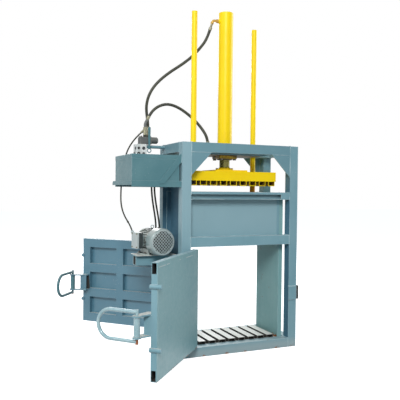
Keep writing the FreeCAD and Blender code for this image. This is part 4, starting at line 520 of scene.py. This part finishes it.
def softened(node_name, width):
    """Copy of a node with its edges rounded, which replaces the node."""
    work = merged(node_name)
    for face in work.faces:
        face.smooth = True
    mesh = bpy.data.meshes.new(node_name + "_work")
    work.to_mesh(mesh)
    work.free()
    paint = FINISHES[SLOT[node_name]]
    if node_name in OWN_PAINT:
        paint = ACCENTS[OWN_PAINT[node_name]]
    edge = paint if node_name in PLAIN_EDGES else WORN_AND_HIGHLIT.get(SLOT[node_name], paint)
    for material in (paint, edge, PAINTED_SHADE.get(SLOT[node_name], paint)):
        mesh.materials.append(material)
    piece = new_object(node_name + "_work", mesh)
    bevel = piece.modifiers.new("round_edges", "BEVEL")
    bevel.width, bevel.segments = width * MM, BEVEL_STEPS
    bevel.limit_method, bevel.angle_limit = "ANGLE", SHARP_TURN
    bevel.material = WORN_AND_HIGHLIT_EDGE
    bevel.use_clamp_overlap = True
    piece.modifiers.new("flat_stays_flat", "WEIGHTED_NORMAL").keep_sharp = True
    done = flatten(piece, node_name + "_finished")
    tree = BVHTree.FromPolygons([v.co for v in done.data.vertices],
                                [p.vertices[:] for p in done.data.polygons])
    for face in done.data.polygons:
        if node_name not in ALL_OUTSIDE and faces_a_wall(tree, face.center, face.normal):
            face.material_index = SHADED_HOLLOW
    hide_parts(node_name)
    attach(done, BODY[node_name])
    return done


# %% [markdown]
# ## How round each piece is
# Square tube has corners of about 3 mm, bent sheet and castings less, and the cut ends of
# pipe a small rim. The pieces are listed by the width of their round strip. Only the hoses
# and the cable aren't listed, because the lines drawn above stand for them.

# %% Soften the frame, the doors, the tank and the cast pieces
SQUARE_TUBES = (
    "post_front_left post_rear_left post_front_right post_rear_right base_beam_front "
    "base_beam_rear base_beam_left base_beam_right cross_beam_front cross_beam_rear "
    "top_beam_front top_beam_rear top_beam_left top_beam_right motor_support").split()
EDGE_WIDTHS = {                     # in millimetres
    3.0: SQUARE_TUBES,
    2.0: ("door_frame_front door_frame_rear feed_rail_front feed_rail_rear platen "
          "cylinder_head_frame tank_lid oil_tank").split(),
    1.2: ("chamber_wall_left chamber_wall_right tank_bracket slatted_floor "
          "guide_sleeve_left guide_sleeve_right hand_valve valve_manifold gear_pump "
          "terminal_box cylinder_flange rod_flange cylinder_gland motor_body").split(),
    0.8: ("feed_panel_front feed_panel_rear door_skin_front door_skin_rear valve_lever "
          "spring_cap cylinder_flange_bolts valve_port_fittings cylinder_port_elbows "
          "latch_handle_front latch_handle_rear motor_fan fan_cowl hose_stem").split(),
    2.5: "cylinder_barrel guide_rod_left guide_rod_right piston_rod".split(),
}
finished = {}
for width, names in EDGE_WIDTHS.items():
    for node_name in names:
        finished[node_name] = softened(node_name, width)
    print(f"{width} mm:", len(names), "pieces")

# %% [markdown]
# ## Single faces with a look of their own
# Some nodes are one casting or weldment with a spot that looks different: the terminal
# cover is paler than its box, and the ledge at the right of the floor has rusted. Other faces
# get painted shade: the catches beyond the right posts, the terminal box's side, the slats'
# sides and undersides, the inside of the fan cowl and the fan behind it, the undersides of the
# top beams and of the cylinder's head frame, and the left wall and the sides of two posts that
# the tank and the frame keep from the light. A test on the middle and the normal of each face
# picks them, so no new piece is needed. Places on the motor are read in its own directions,
# because it stands turned on its plate.

# %% Pick out single faces
PIVOT, MOTOR_TURN = Vector((-0.690, 0.040, 0)), math.radians(10)
TURN, TURN_BACK = (Matrix.Rotation(angle, 3, "Z") for angle in (MOTOR_TURN, -MOTOR_TURN))
SHAFT_Z = 0.938
ROUGHLY, SQUARELY = 0.5, 0.9                    # how straight a normal points one way
COVER_X, COVER_TOP = -0.152, 1.016              # the terminal box's cover
BOX_SIDE_X, BOX_SIDE_Y = (-0.1525, -0.113), -0.045      # the box's side in the shade
GRILLE_Y, GRILLE_RADIUS, COWL_FRONT_Y = -0.12, 0.094, -0.13
LEDGE_X, LEDGE_Z = 0.362, 0.063                 # the strip at the right of the floor
PLATE_X, PLATE_Z = -0.55, 0.8185                # the upper face of the motor's plate
CATCH_X = 0.546                                 # beyond the right posts
BRACKET_Z, RAIL_Z = (0.3, 0.6), 0.86            # a latch bracket; under a door's top rail
ELBOW_Y, ELBOW_Z, COLLAR_Z = 0.165, 1.903, 1.850        # the valve's outlet
REAR_POST_Y, RIGHT_POST_X = 0.20, 0.467         # inner sides of these posts
PIN_REACH, PIN_RUST = 0.020, 0.030              # round a latch pin, and up from its foot


def on_motor(place):
    """A point in the motor's own directions, from the middle of its feet."""
    return TURN_BACK @ (place - PIVOT)


def tint(node_name, material, test):
    """Gives another finish to the faces whose middle c and normal n pass a test."""
    data = finished[node_name].data
    data.materials.append(material)
    chosen = [f for f in data.polygons if test(f.center, f.normal)]
    for face in chosen:
        face.material_index = len(data.materials) - 1
    print(node_name, len(chosen), "faces in", material.name)


tint("terminal_box", ACCENTS["pale"], lambda c, n: on_motor(c).x < COVER_X and c.z < COVER_TOP)
# painted shade on the terminal box's side
tint("terminal_box", PAINTED_SHADE["motor_paint"], lambda c, n: on_motor(c).y < BOX_SIDE_Y
     and BOX_SIDE_X[0] < on_motor(c).x < BOX_SIDE_X[1])
tint("slatted_floor", ACCENTS["rusty"], lambda c, n: c.x > LEDGE_X and c.z > LEDGE_Z)
tint("motor_support", ACCENTS["chalky"], lambda c, n: c.z > PLATE_Z and c.x < PLATE_X)
# painted shade on the catches beyond the right posts
for side in ("post_front_right", "post_rear_right"):
    tint(side, PAINTED_SHADE["frame_paint"], lambda c, n: c.x > CATCH_X)
# painted shade on the slats' sides and undersides
tint("slatted_floor", PAINTED_SHADE["slat_steel"], lambda c, n: abs(n.y) > ROUGHLY or n.z < -ROUGHLY)
# painted shade inside the fan cowl, behind the grille
tint("fan_cowl", PAINTED_SHADE["motor_paint"], lambda c, n: abs((TURN_BACK @ n).y) < ROUGHLY
     and on_motor(c).y < GRILLE_Y
     and Vector((on_motor(c).x, c.z - SHAFT_Z)).length < GRILLE_RADIUS)
# painted shade on the undersides of the top beams
for side in ("top_beam_front", "top_beam_rear", "top_beam_left", "top_beam_right"):
    tint(side, ACCENTS["dark"], lambda c, n: n.z < -SQUARELY)
# painted shade on the undersides of the cylinder's head frame
tint("cylinder_head_frame", PAINTED_SHADE["frame_paint"], lambda c, n: n.z < -ROUGHLY)
tint("door_frame_front", ACCENTS["chalky"],
     lambda c, n: n.z > SQUARELY and BRACKET_Z[0] < c.z < BRACKET_Z[1])
tint("door_frame_rear", ACCENTS["pale"], lambda c, n: n.z > SQUARELY and c.z < RAIL_Z)
tint("valve_port_fittings", FINISHES["valve_iron"], lambda c, n: c.y < ELBOW_Y and c.z > ELBOW_Z)
tint("valve_port_fittings", FINISHES["hose_rubber"], lambda c, n: c.z < COLLAR_Z)
tint("fan_cowl", ACCENTS["pale"],
     lambda c, n: (TURN_BACK @ n).y < -SQUARELY and on_motor(c).y < COWL_FRONT_Y)
# painted shade on the fan behind the grille
tint("motor_fan", PAINTED_SHADE["frame_paint"], lambda c, n: True)
# painted shade on the left wall, the rear-left post's front and the right post's inner side, which
# the tank and the frame keep from the light
tint("chamber_wall_left", ACCENTS["dark"], lambda c, n: n.x < ROUGHLY)
tint("post_rear_left", ACCENTS["dark"], lambda c, n: n.y < -SQUARELY and c.y < REAR_POST_Y)
tint("post_front_right", ACCENTS["dark"], lambda c, n: n.x < -SQUARELY and c.x < RIGHT_POST_X)
for side in ("latch_handle_front", "latch_handle_rear"):
    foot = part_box(side)[0][2]
    lowest = [v.co for v in NODES[side].data.vertices if v.co.z < foot + MM]
    pin = sum(lowest, Vector()) / len(lowest)
    tint(side, ACCENTS["tip"],
         lambda c, n: (c - pin).xy.length < PIN_REACH and c.z < foot + PIN_RUST)

# %% [markdown]
# ## Sheet strips beside the chamber
# The photograph shows the left chamber wall running on up behind the oil tank, between the
# two posts, and the right wall's flange lapped over the end of the feed panel. Each is a
# strip of sheet, placed from the pieces that it is welded to.

# %% Strips of sheet
STRIP_TOP, STRIP_SHEET, STRIP_EDGE, LAP_WIDTH = 1.480, 0.004, 0.0008, 0.024


def sheet_strip(title, low, high, material):
    """A flat bar with rounded edges between two corners, welded to the frame."""
    work = bmesh.new()
    bmesh.ops.create_cube(work, size=1.0)
    for vert in work.verts:
        vert.co = Vector([a if side < 0 else b for side, a, b in zip(vert.co, low, high)])
    bmesh.ops.bevel(work, geom=work.edges[:], offset=STRIP_EDGE, segments=2, affect="EDGES")
    mesh = bpy.data.meshes.new(title)
    work.to_mesh(mesh)
    work.free()
    mesh.materials.append(material)
    piece = new_object(title, mesh)
    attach(piece, "frame")
    print(title, [round(c, 3) for c in (*low, *high)])


wall_side, _, wall_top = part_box("chamber_wall_left")[1]
# painted shade: the strip takes the darkened blue of the left wall below it
sheet_strip("left_wall_strip",
            (wall_side - STRIP_SHEET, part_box("post_front_left")[1][1], wall_top),
            (wall_side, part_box("post_rear_left")[0][1], STRIP_TOP), ACCENTS["dark"])
panel_low, panel_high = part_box("feed_panel_front")
rail_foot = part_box("feed_rail_front")[0][2]
sheet_strip("right_wall_lap",
            (panel_high[0] - LAP_WIDTH, panel_low[1] - STRIP_SHEET, panel_low[2]),
            (panel_high[0], panel_low[1], rail_foot), FINISHES["frame_paint"])

# %% [markdown]
# ## Weld seams by a rule
# A welded frame has a bead wherever two of its pieces meet. Two rules find these lines in
# the construction model: an edge of one piece whose points all lie on another piece, and
# an inner corner between two outer faces of the same piece. Edges inside a tube are left
# out, and so are those under the frame's feet, in a fold of sheet, or beside a hinge, where
# a bead would jam the barrels.

# %% Find the lines where pieces are welded
WELDED = {
    "frame": SQUARE_TUBES + (
        "feed_rail_front feed_rail_rear feed_panel_front feed_panel_rear tank_bracket "
        "chamber_wall_left chamber_wall_right cylinder_head_frame guide_sleeve_left "
        "guide_sleeve_right").split(),
    "platen": ["platen"],
    "front_door": ["door_frame_front"],
    "rear_door": ["door_frame_rear"],
}
FOLDED = {"chamber_wall_left", "chamber_wall_right", "tank_bracket", "feed_rail_front",
          "feed_rail_rear"}
SEAM_LEAST = 0.012          # no bead on an edge that is shorter, or as close to the floor
BEAD_CLEAR = 0.006          # a bead's end keeps this far above the floor
HINGE_CLEAR = 0.024         # no bead this near a hinge's axis, where the barrels turn
TURNS_ABOUT = {j["child"]: Vector(j["pos_m"]) for j in frame["record"]["behaviour"]["joints"]
               if j["child"] in WELDED and j["type"] == "hinge"}
TOUCH, ALONG_EDGE = 0.00015, (0.02, 0.35, 0.65, 0.98)   # how near, and at which shares


def outer_edges(node_name):
    """Sharp edges between two outer faces, each with whether it is inward, and the tree."""
    work = merged(node_name)
    tree = BVHTree.FromBMesh(work)
    found = []
    for edge in work.edges:
        if len(edge.link_faces) != 2 or edge.calc_length() < SEAM_LEAST:
            continue
        bend = edge.calc_face_angle_signed()
        if abs(bend) < SHARP_TURN:
            continue
        if any(faces_a_wall(tree, f.calc_center_median(), f.normal) for f in edge.link_faces):
            continue
        found.append((edge.verts[0].co.copy(), edge.verts[1].co.copy(), bend < 0))
    work.free()
    return found, tree


def touches(tree, a, b):
    """Whether an edge lies on a surface, at its ends and at two points between them."""
    for share in ALONG_EDGE:
        if tree.find_nearest(a.lerp(b, share), TOUCH)[0] is None:
            return False
    return True


seams = {}
for body, names in WELDED.items():
    edges, trees = {}, {}
    for node_name in names:
        edges[node_name], trees[node_name] = outer_edges(node_name)
    lines = []
    for node_name in names:
        for a, b, inward in edges[node_name]:
            if max(a.z, b.z) < SEAM_LEAST:      # the frame stands on this edge
                continue
            axis = TURNS_ABOUT.get(body)
            if axis and min((a - axis).xy.length, (b - axis).xy.length) < HINGE_CLEAR:
                continue
            corner = inward and node_name not in FOLDED
            others = (trees[other] for other in names if other != node_name)
            if corner or any(touches(tree, a, b) for tree in others):
                for end in (a, b):
                    end.z = max(end.z, BEAD_CLEAR)
                lines.append((a, b))
    seams[body] = lines
    print(body, len(lines), "seams,", round(sum((a - b).length for a, b in lines), 2), "m")


# %% [markdown]
# ## A bead is a row of small balls
# A hand-laid bead looks like a row of scales of uneven width. A Geometry Nodes group turns
# each line into a curve, walks it in equal steps and sets down a flattened ball at each.
# One group serves every seam, because the step, the width and the finish are its inputs.

# %% A node group that lays a bead along each line
BEAD_STEP, BEAD_WIDTH, DOOR_BEAD, TACK_BEAD = 0.006, 0.0034, 0.0024, 0.0026
BEAD_SEED, BEAD_UNEVEN = 7, (0.8, 1.15)
BEAD_REACH = 0.85           # a ball's half length in steps, so that neighbours overlap


def node_group(title, sockets):
    """An empty geometry group with named inputs, its input node and its output node."""
    group = bpy.data.node_groups.new(title, "GeometryNodeTree")
    group.interface.new_socket("Geometry", in_out="INPUT", socket_type="NodeSocketGeometry")
    for name, kind, value in sockets:
        made = group.interface.new_socket(name, in_out="INPUT", socket_type=kind)
        if value is not None:
            made.default_value = value
    group.interface.new_socket("Geometry", in_out="OUTPUT", socket_type="NodeSocketGeometry")
    return group, add(group, "NodeGroupInput").outputs, add(group, "NodeGroupOutput")


def close_group(group, given, leaving, geometry):
    """Real geometry with its material at the end of a group."""
    real = add(group, "GeometryNodeRealizeInstances", None, {"Geometry": geometry}).outputs[0]
    coated = add(group, "GeometryNodeSetMaterial", None, {
        "Geometry": real, "Material": given["Material"]}).outputs[0]
    group.links.new(coated, leaving.inputs["Geometry"])


weld, given, leaving = node_group("weld_bead", [
    ("Step", "NodeSocketFloat", BEAD_STEP), ("Width", "NodeSocketFloat", BEAD_WIDTH),
    ("Seed", "NodeSocketInt", BEAD_SEED), ("Material", "NodeSocketMaterial", None)])
line = add(weld, "GeometryNodeMeshToCurve", None, {"Mesh": given["Geometry"]}).outputs[0]
stepped = add(weld, "GeometryNodeResampleCurve", {"mode": "LENGTH"}, {
    "Curve": line, "Length": given["Step"]}).outputs[0]
along = add(weld, "FunctionNodeAlignRotationToVector", {"axis": "X"}, {
    "Vector": add(weld, "GeometryNodeInputTangent").outputs[0]}).outputs[0]
uneven = add(weld, "FunctionNodeRandomValue", {"data_type": "FLOAT"}, {
    "Min": BEAD_UNEVEN[0], "Max": BEAD_UNEVEN[1], "Seed": given["Seed"]}).outputs[1]
across = add(weld, "ShaderNodeMath", {"operation": "MULTIPLY"}, {
    0: uneven, 1: given["Width"]}).outputs[0]
size = add(weld, "ShaderNodeCombineXYZ", None, {
    "X": add(weld, "ShaderNodeMath", {"operation": "MULTIPLY"}, {
        0: given["Step"], 1: BEAD_REACH}).outputs[0], "Y": across, "Z": across}).outputs[0]
ball = add(weld, "GeometryNodeMeshIcoSphere", None, {
    "Radius": 1.0, "Subdivisions": 1}).outputs[0]
beads = add(weld, "GeometryNodeInstanceOnPoints", None, {
    "Points": stepped, "Instance": ball, "Rotation": along, "Scale": size}).outputs[0]
close_group(weld, given, leaving, beads)


def grown(title, points, edges, group, values, body, attributes=None):
    """Runs a node group on a mesh of points and edges, and keeps the result as a piece."""
    mesh = bpy.data.meshes.new(title + "_seed")
    mesh.from_pydata(points, edges, [])
    for name, (kind, key, data) in (attributes or {}).items():
        mesh.attributes.new(name, kind, "POINT").data.foreach_set(key, data)
    carrier = new_object(title + "_seed", mesh)
    modifier = carrier.modifiers.new(title, "NODES")
    modifier.node_group = group
    for item in group.interface.items_tree:
        if item.in_out == "INPUT" and item.name in values:
            modifier[item.identifier] = values[item.name]
    piece = flatten(carrier, title)
    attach(piece, body)
    print(title, len(piece.data.polygons), "faces")


for body, lines in seams.items():
    points = [tuple(p) for pair in lines for p in pair]
    pairs = [(2 * i, 2 * i + 1) for i in range(len(lines))]
    slot_name = "press_paint" if body == "platen" else "frame_paint"
    bead = DOOR_BEAD if body.endswith("door") else BEAD_WIDTH
    # the beads take the paler edge finish, partly a painted highlight
    grown(body + "_weld_seams", points, pairs, weld,
          {"Material": WORN_AND_HIGHLIT[slot_name], "Width": bead}, body)

# %% [markdown]
# ## Tack welds on the front door
# The door's sheet is tacked to its top rail from outside. The largest face of the sheet
# that looks at the camera gives the line, and the tacks are short runs of the same bead,
# each from one share of the line to another.

# %% Tack the front door's sheet to its frame
TACK_DROP, TACK_RUNS = 0.032, ((0.03, 0.16), (0.19, 0.24), (0.49, 0.505), (0.66, 0.83))
SAME_WAY = 0.99             # two normals closer than this belong to one flat side
sheet_data = NODES["door_skin_front"].data
outside = max((f for f in sheet_data.polygons if f.normal.dot(EYE - f.center) > 0),
              key=lambda f: f.area)
facing_side = [sheet_data.vertices[i].co.copy() for f in sheet_data.polygons
               if f.normal.dot(outside.normal) > SAME_WAY for i in f.vertices]
top_line = max(p.z for p in facing_side)
ends = sorted((p for p in facing_side if p.z > top_line - MM), key=lambda p: p.x)
left_end, right_end = (p - Vector((0, 0, TACK_DROP)) for p in (ends[0], ends[-1]))
tacks = [left_end.lerp(right_end, share) for run in TACK_RUNS for share in run]
grown("front_door_tacks", [tuple(p) for p in tacks],
      [(2 * i, 2 * i + 1) for i in range(len(TACK_RUNS))], weld,
      {"Material": ACCENTS["pale"], "Width": TACK_BEAD}, "front_door")

# %% [markdown]
# ## Bolts, screws and plugs by a rule
# Every fastener is one shape at another size: a washer with a many-sided head on it. The
# group takes a point for each, with its direction and its width across the flats as
# attributes of the point. Six sides make a bolt, twenty make a round plug.

# %% A node group that sets a head on each point
CORNER_RADIUS = 0.577       # of a hexagon that measures 1 across its flats
HEX_SIDES, ROUND_SIDES = 6, 20

heads, given, leaving = node_group("fastener_heads", [
    ("Sides", "NodeSocketInt", HEX_SIDES), ("Head Height", "NodeSocketFloat", 0.62),
    ("Washer Radius", "NodeSocketFloat", 0.9), ("Washer Height", "NodeSocketFloat", 0.12),
    ("Material", "NodeSocketMaterial", None)])
head = add(heads, "GeometryNodeMeshCylinder", None, {
    "Vertices": given["Sides"], "Radius": CORNER_RADIUS,
    "Depth": given["Head Height"]}).outputs[0]
half_up = add(heads, "ShaderNodeMath", {"operation": "MULTIPLY_ADD"}, {
    0: given["Head Height"], 1: 0.5, 2: given["Washer Height"]}).outputs[0]
raised = add(heads, "GeometryNodeTransform", None, {
    "Geometry": head, "Translation": add(heads, "ShaderNodeCombineXYZ", None, {
        "Z": half_up}).outputs[0]}).outputs[0]
washer = add(heads, "GeometryNodeMeshCylinder", None, {
    "Vertices": ROUND_SIDES, "Radius": given["Washer Radius"],
    "Depth": given["Washer Height"]}).outputs[0]
seated = add(heads, "GeometryNodeTransform", None, {
    "Geometry": washer, "Translation": add(heads, "ShaderNodeCombineXYZ", None, {
        "Z": add(heads, "ShaderNodeMath", {"operation": "MULTIPLY"}, {
            0: given["Washer Height"], 1: 0.5}).outputs[0]}).outputs[0]}).outputs[0]
whole = add(heads, "GeometryNodeJoinGeometry")
heads.links.new(raised, whole.inputs[0])
heads.links.new(seated, whole.inputs[0])
facing = add(heads, "FunctionNodeAlignRotationToVector", {"axis": "Z"}, {
    "Vector": add(heads, "GeometryNodeInputNamedAttribute", {"data_type": "FLOAT_VECTOR"}, {
        "Name": "facing"}).outputs[0]}).outputs[0]
width_across = add(heads, "GeometryNodeInputNamedAttribute", {"data_type": "FLOAT"}, {
    "Name": "across"}).outputs[0]
placed = add(heads, "GeometryNodeInstanceOnPoints", None, {
    "Points": given["Geometry"], "Instance": whole.outputs[0], "Rotation": facing,
    "Scale": width_across}).outputs[0]
close_group(heads, given, leaving, placed)

# %% [markdown]
# ## Where the fasteners sit
# The motor is held by four bolts through its feet, its end shield and its cowl by rings of
# small ones, and the bell housing by four at its corners. The manifold has round plugs
# where its drilled channels come out. All are given in millimetres; those on the motor are
# measured from the middle of its feet, in its own directions.

# %% Place the fasteners
M5, M6, M8, M10 = 8, 10, 13, 17         # widths across the flats
FEET_X, FEET_Y, FEET_TOP = (-94, 94), (-50, 50), 838
SHIELD_RADIUS, SHIELD_Y, COWL_RADIUS, COWL_Y = 91, 104, 113, -99
BELL_REACH, BELL_DROP, BELL_Y = (-32, 32), (-38, 38), 242
VALVE_X, VALVE_Y, VALVE_FOOT, VALVE_BOLT = (-764, -685), (134, 186), 1820, 12
COVER_FACE, COVER_Y, COVER_Z = -167, (-42, 42), (892, 1002)
BLOCK_FRONT, BLOCK_SIDE, SIDE_PLUG = 115, -812, 18
FRONT_PLUGS = ((-792, 1676, 20), (-792, 1722, 17), (-748, 1676, 17), (-748, 1722, 20))
SIDE_PLUGS = ((140, 1722), (180, 1680))


def from_motor(x, y, z):
    """World place of a point given from the middle of the motor's feet, in millimetres."""
    place = PIVOT + TURN @ Vector((x * MM, y * MM, 0))
    return Vector((place.x, place.y, z * MM))


def ring(radius, y, count, first_turn):
    """Points on a circle about the motor's shaft, with their outward directions."""
    for i in range(count):
        a = math.radians(first_turn) + 2 * math.pi * i / count
        x, z = radius * math.cos(a), radius * math.sin(a)
        yield from_motor(x, y, SHAFT_Z / MM + z), TURN @ Vector((x, 0, z)).normalized()


def set_heads(title, rows, values):
    """One piece of many heads; a row is a place, a direction and a width in millimetres."""
    flat = [c for _, direction, _ in rows for c in direction]
    grown(title, [tuple(place) for place, _, _ in rows], [], heads, values, "frame", {
        "facing": ("FLOAT_VECTOR", "vector", flat),
        "across": ("FLOAT", "value", [across * MM for _, _, across in rows])})


UPWARD, BACKWARD, LEFTWARD, FORWARD = (Vector(d) for d in (
    (0, 0, 1), (0, 1, 0), (-1, 0, 0), (0, -1, 0)))
bolts = [(from_motor(x, y, FEET_TOP), UPWARD, M10) for x in FEET_X for y in FEET_Y]
bolts += [(place, TURN @ BACKWARD, M6) for place, _ in ring(SHIELD_RADIUS, SHIELD_Y, 4, 45)]
bolts += [(place, out, M5) for place, out in ring(COWL_RADIUS, COWL_Y, 4, 0)]
bolts += [(from_motor(x, BELL_Y, SHAFT_Z / MM + z), TURN @ BACKWARD, M8)
          for x in BELL_REACH for z in BELL_DROP]
bolts += [(Vector((x, y, VALVE_FOOT)) * MM, UPWARD, VALVE_BOLT)
          for x in VALVE_X for y in VALVE_Y]
set_heads("bolt_heads", bolts, {"Material": FINISHES["bolt_steel"]})
screws = [(from_motor(COVER_FACE, y, z), TURN @ LEFTWARD, M5) for y in COVER_Y for z in COVER_Z]
set_heads("terminal_screws", screws, {"Material": FINISHES["zinc_plate"]})
plugs = [(Vector((x, BLOCK_FRONT, z)) * MM, FORWARD, width) for x, z, width in FRONT_PLUGS]
plugs += [(Vector((BLOCK_SIDE, y, z)) * MM, LEFTWARD, SIDE_PLUG) for y, z in SIDE_PLUGS]
# the plugs are near-black: painted shade of the drilled holes that they close
set_heads("manifold_plugs", plugs, {
    "Sides": ROUND_SIDES, "Head Height": 0.14, "Washer Radius": 0.72, "Washer Height": 0.08,
    "Material": PAINTED_SHADE["frame_paint"]})

# %% [markdown]
# ## Ferrules and ties on the hoses
# A hose ends in a crimped sleeve with grooves. The sleeve is a turned profile, spun about
# the direction in which the hose's own line leaves its end. Two ties on the cable are spun
# in the same way, about the line between two neighbouring points of the cable.

# %% Crimp a ferrule on each hose end and tie the cable
SPIN_STEPS = 20
SLEEVE_LIP, SLEEVE_WALL, SLEEVE_PRESSED, SLEEVE_RIM = 0.4, 3.0, 1.4, 0.8
SLEEVE_GROOVES, GROOVE_HALVES = 3, (2.6, 1.4)   # half a groove at its top and its bottom
TIE = [(-7, 6.7), (-6.6, 8.4), (-2, 8.9), (0, 8.0), (2, 8.9), (6.6, 8.4), (7, 6.7)]
TIE_SHARES = {"cable_tie_low": 0.885, "cable_tie_high": 0.30}      # along the cable


def spun(title, start, direction, profile, material):
    """A turned piece: (distance along, radius) pairs in millimetres about a direction."""
    work = bmesh.new()
    toward = Vector(direction).to_track_quat("Z", "Y").to_matrix()
    rows = []
    for distance, radius in profile:
        row = []
        for i in range(SPIN_STEPS):
            a = 2 * math.pi * i / SPIN_STEPS
            spot = Vector((radius * math.cos(a), radius * math.sin(a), distance)) * MM
            row.append(work.verts.new(Vector(start) * MM + toward @ spot))
        rows.append(row)
    for low, high in zip(rows, rows[1:]):
        for i in range(SPIN_STEPS):
            j = (i + 1) % SPIN_STEPS
            work.faces.new((low[i], low[j], high[j], high[i])).smooth = True
    work.faces.new(rows[0][::-1])
    work.faces.new(rows[-1])
    mesh = bpy.data.meshes.new(title)
    work.to_mesh(mesh)
    work.free()
    mesh.materials.append(material)
    piece = new_object(title, mesh)
    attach(piece, "frame")
    return piece


def ferrule_profile(hose_radius, length):
    """A sleeve a little wider than the hose, pressed in at a few rings."""
    lip, out = hose_radius + SLEEVE_LIP, hose_radius + SLEEVE_WALL
    pressed, (wide, narrow) = hose_radius + SLEEVE_PRESSED, GROOVE_HALVES
    rows = [(0, lip), (SLEEVE_RIM, out)]
    for i in range(SLEEVE_GROOVES):
        at = length * (i + 1) / (SLEEVE_GROOVES + 1)
        rows += [(at - wide, out), (at - narrow, pressed), (at + narrow, pressed),
                 (at + wide, out)]
    return rows + [(length - SLEEVE_RIM, out), (length, lip)]


on_cord = {node_name: [] for node_name in ROUTES}
for node_name, at_end, length in (("hose_upper", True, 34), ("hose_lower", False, 34),
                                  ("hose_lower", True, 34), ("suction_hose", False, 24),
                                  ("return_hose", False, 24)):
    diameter, points = ROUTES[node_name][0], [Vector(p) for p in ROUTES[node_name][3]]
    start, onward = (points[-1], points[-2]) if at_end else (points[0], points[1])
    title = f"{node_name}_ferrule_{'end' if at_end else 'start'}"
    on_cord[node_name].append(spun(title, start, onward - start, ferrule_profile(
        diameter / 2, length), FINISHES["zinc_plate"]))
tie_line = line_of(cords["motor_cable"])
for title, share in TIE_SHARES.items():
    i = round(share * (len(tie_line) - 1))
    on_cord["motor_cable"].append(spun(title, tie_line[i] / MM, tie_line[i + 1] - tie_line[i],
                                       TIE, FINISHES["hose_rubber"]))
print({k: len(v) for k, v in on_cord.items()})

# %% [markdown]
# A hose bends and has a fixed length, which a rigid piece can't say. Each drawn line takes
# the place of its solid, gets the rubber finish and is fixed to the frame.

# %% Hang the cords on their nodes
for node_name, (diameter, length, stiffness, points) in ROUTES.items():
    cord = cords[node_name]
    cord.data.materials.append(FINISHES["hose_rubber"])
    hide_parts(node_name)
    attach(cord, "frame")

# %% [markdown]
# ## Studio
# A white floor that keeps the object's shadow, a soft key light from the front left and
# above, and weaker ones from the left, the right and behind. The background is white to
# the camera, the mirror and the glass rays only, so it adds no light to the object.

# %% Floor, world and lamps
def seen_directly(tree):
    """1 for camera, mirror and glass rays, 0 for the rays that carry light."""
    path = add(tree, "ShaderNodeLightPath")
    return maths(tree, "MAXIMUM", path.outputs["Is Camera Ray"], maths(
        tree, "MAXIMUM", path.outputs["Is Glossy Ray"], path.outputs["Is Transmission Ray"]))


AMBIENT, SKY_COLOUR = 0.30, (0.80, 0.92, 1.0, 1)
world = bpy.data.worlds.new("studio")
world.use_nodes = True
bpy.context.scene.world = world
sky = world.node_tree
sky.nodes.clear()
glow = add(sky, "ShaderNodeBackground", None, {"Color": SKY_COLOUR, "Strength": AMBIENT})
white = add(sky, "ShaderNodeBackground", None, {"Color": (1, 1, 1, 1), "Strength": 1.0})
either = add(sky, "ShaderNodeMixShader", None, {
    0: seen_directly(sky), 1: glow.outputs[0], 2: white.outputs[0]})
add(sky, "ShaderNodeOutputWorld", None, {"Surface": either.outputs[0]})

FLOOR_GLOW = 0.78           # what the lit paper lacks to plain white
FLOOR_SEEN, FLOOR_BOUNCE = 0.82, 0.35       # pale to the eye, duller as a light source
FLOOR_SIZE, FLOOR_DROP = 60, 0.0005         # just under the feet, so that nothing flickers
bpy.ops.mesh.primitive_plane_add(size=FLOOR_SIZE, location=(0, 0, -FLOOR_DROP))
floor = bpy.context.object
floor.name = "studio_floor"
paper = bpy.data.materials.new("studio_paper")
paper.use_nodes = True
sheet = paper.node_tree
sheet.nodes.clear()
pale = blend_colour(sheet, seen_directly(sheet), (*[FLOOR_BOUNCE] * 3, 1),
                    (*[FLOOR_SEEN] * 3, 1))
matt = add(sheet, "ShaderNodeBsdfDiffuse", None, {"Color": pale})
lift = add(sheet, "ShaderNodeEmission", None, {
    "Color": (1, 1, 1, 1),
    "Strength": maths(sheet, "MULTIPLY", seen_directly(sheet), FLOOR_GLOW)})
both = add(sheet, "ShaderNodeAddShader", None, {0: matt.outputs[0], 1: lift.outputs[0]})
add(sheet, "ShaderNodeOutputMaterial", None, {"Surface": both.outputs[0]})
floor.data.materials.append(paper)


def lamp(title, place, aim, size, watts):
    """Square soft lamp that looks at a point."""
    data = bpy.data.lights.new(title, "AREA")
    data.size, data.energy = size, watts
    made = new_object(title, data)
    made.location = place
    made.rotation_euler = (Vector(aim) - Vector(place)).to_track_quat("-Z", "Y").to_euler()


lamp("key", (-3.2, -6.2, 5.2), aim=(0, 0, 1.0), size=2.6, watts=460)
lamp("left", (-6.0, -1.4, 3.4), aim=(-0.5, 0, 1.1), size=2.6, watts=90)
lamp("right", (5.2, 0.4, 3.4), aim=(0, 0, 1.1), size=3.0, watts=190)
lamp("rear", (1.4, 7.2, 4.8), aim=(0, 0, 1.0), size=3.0, watts=330)
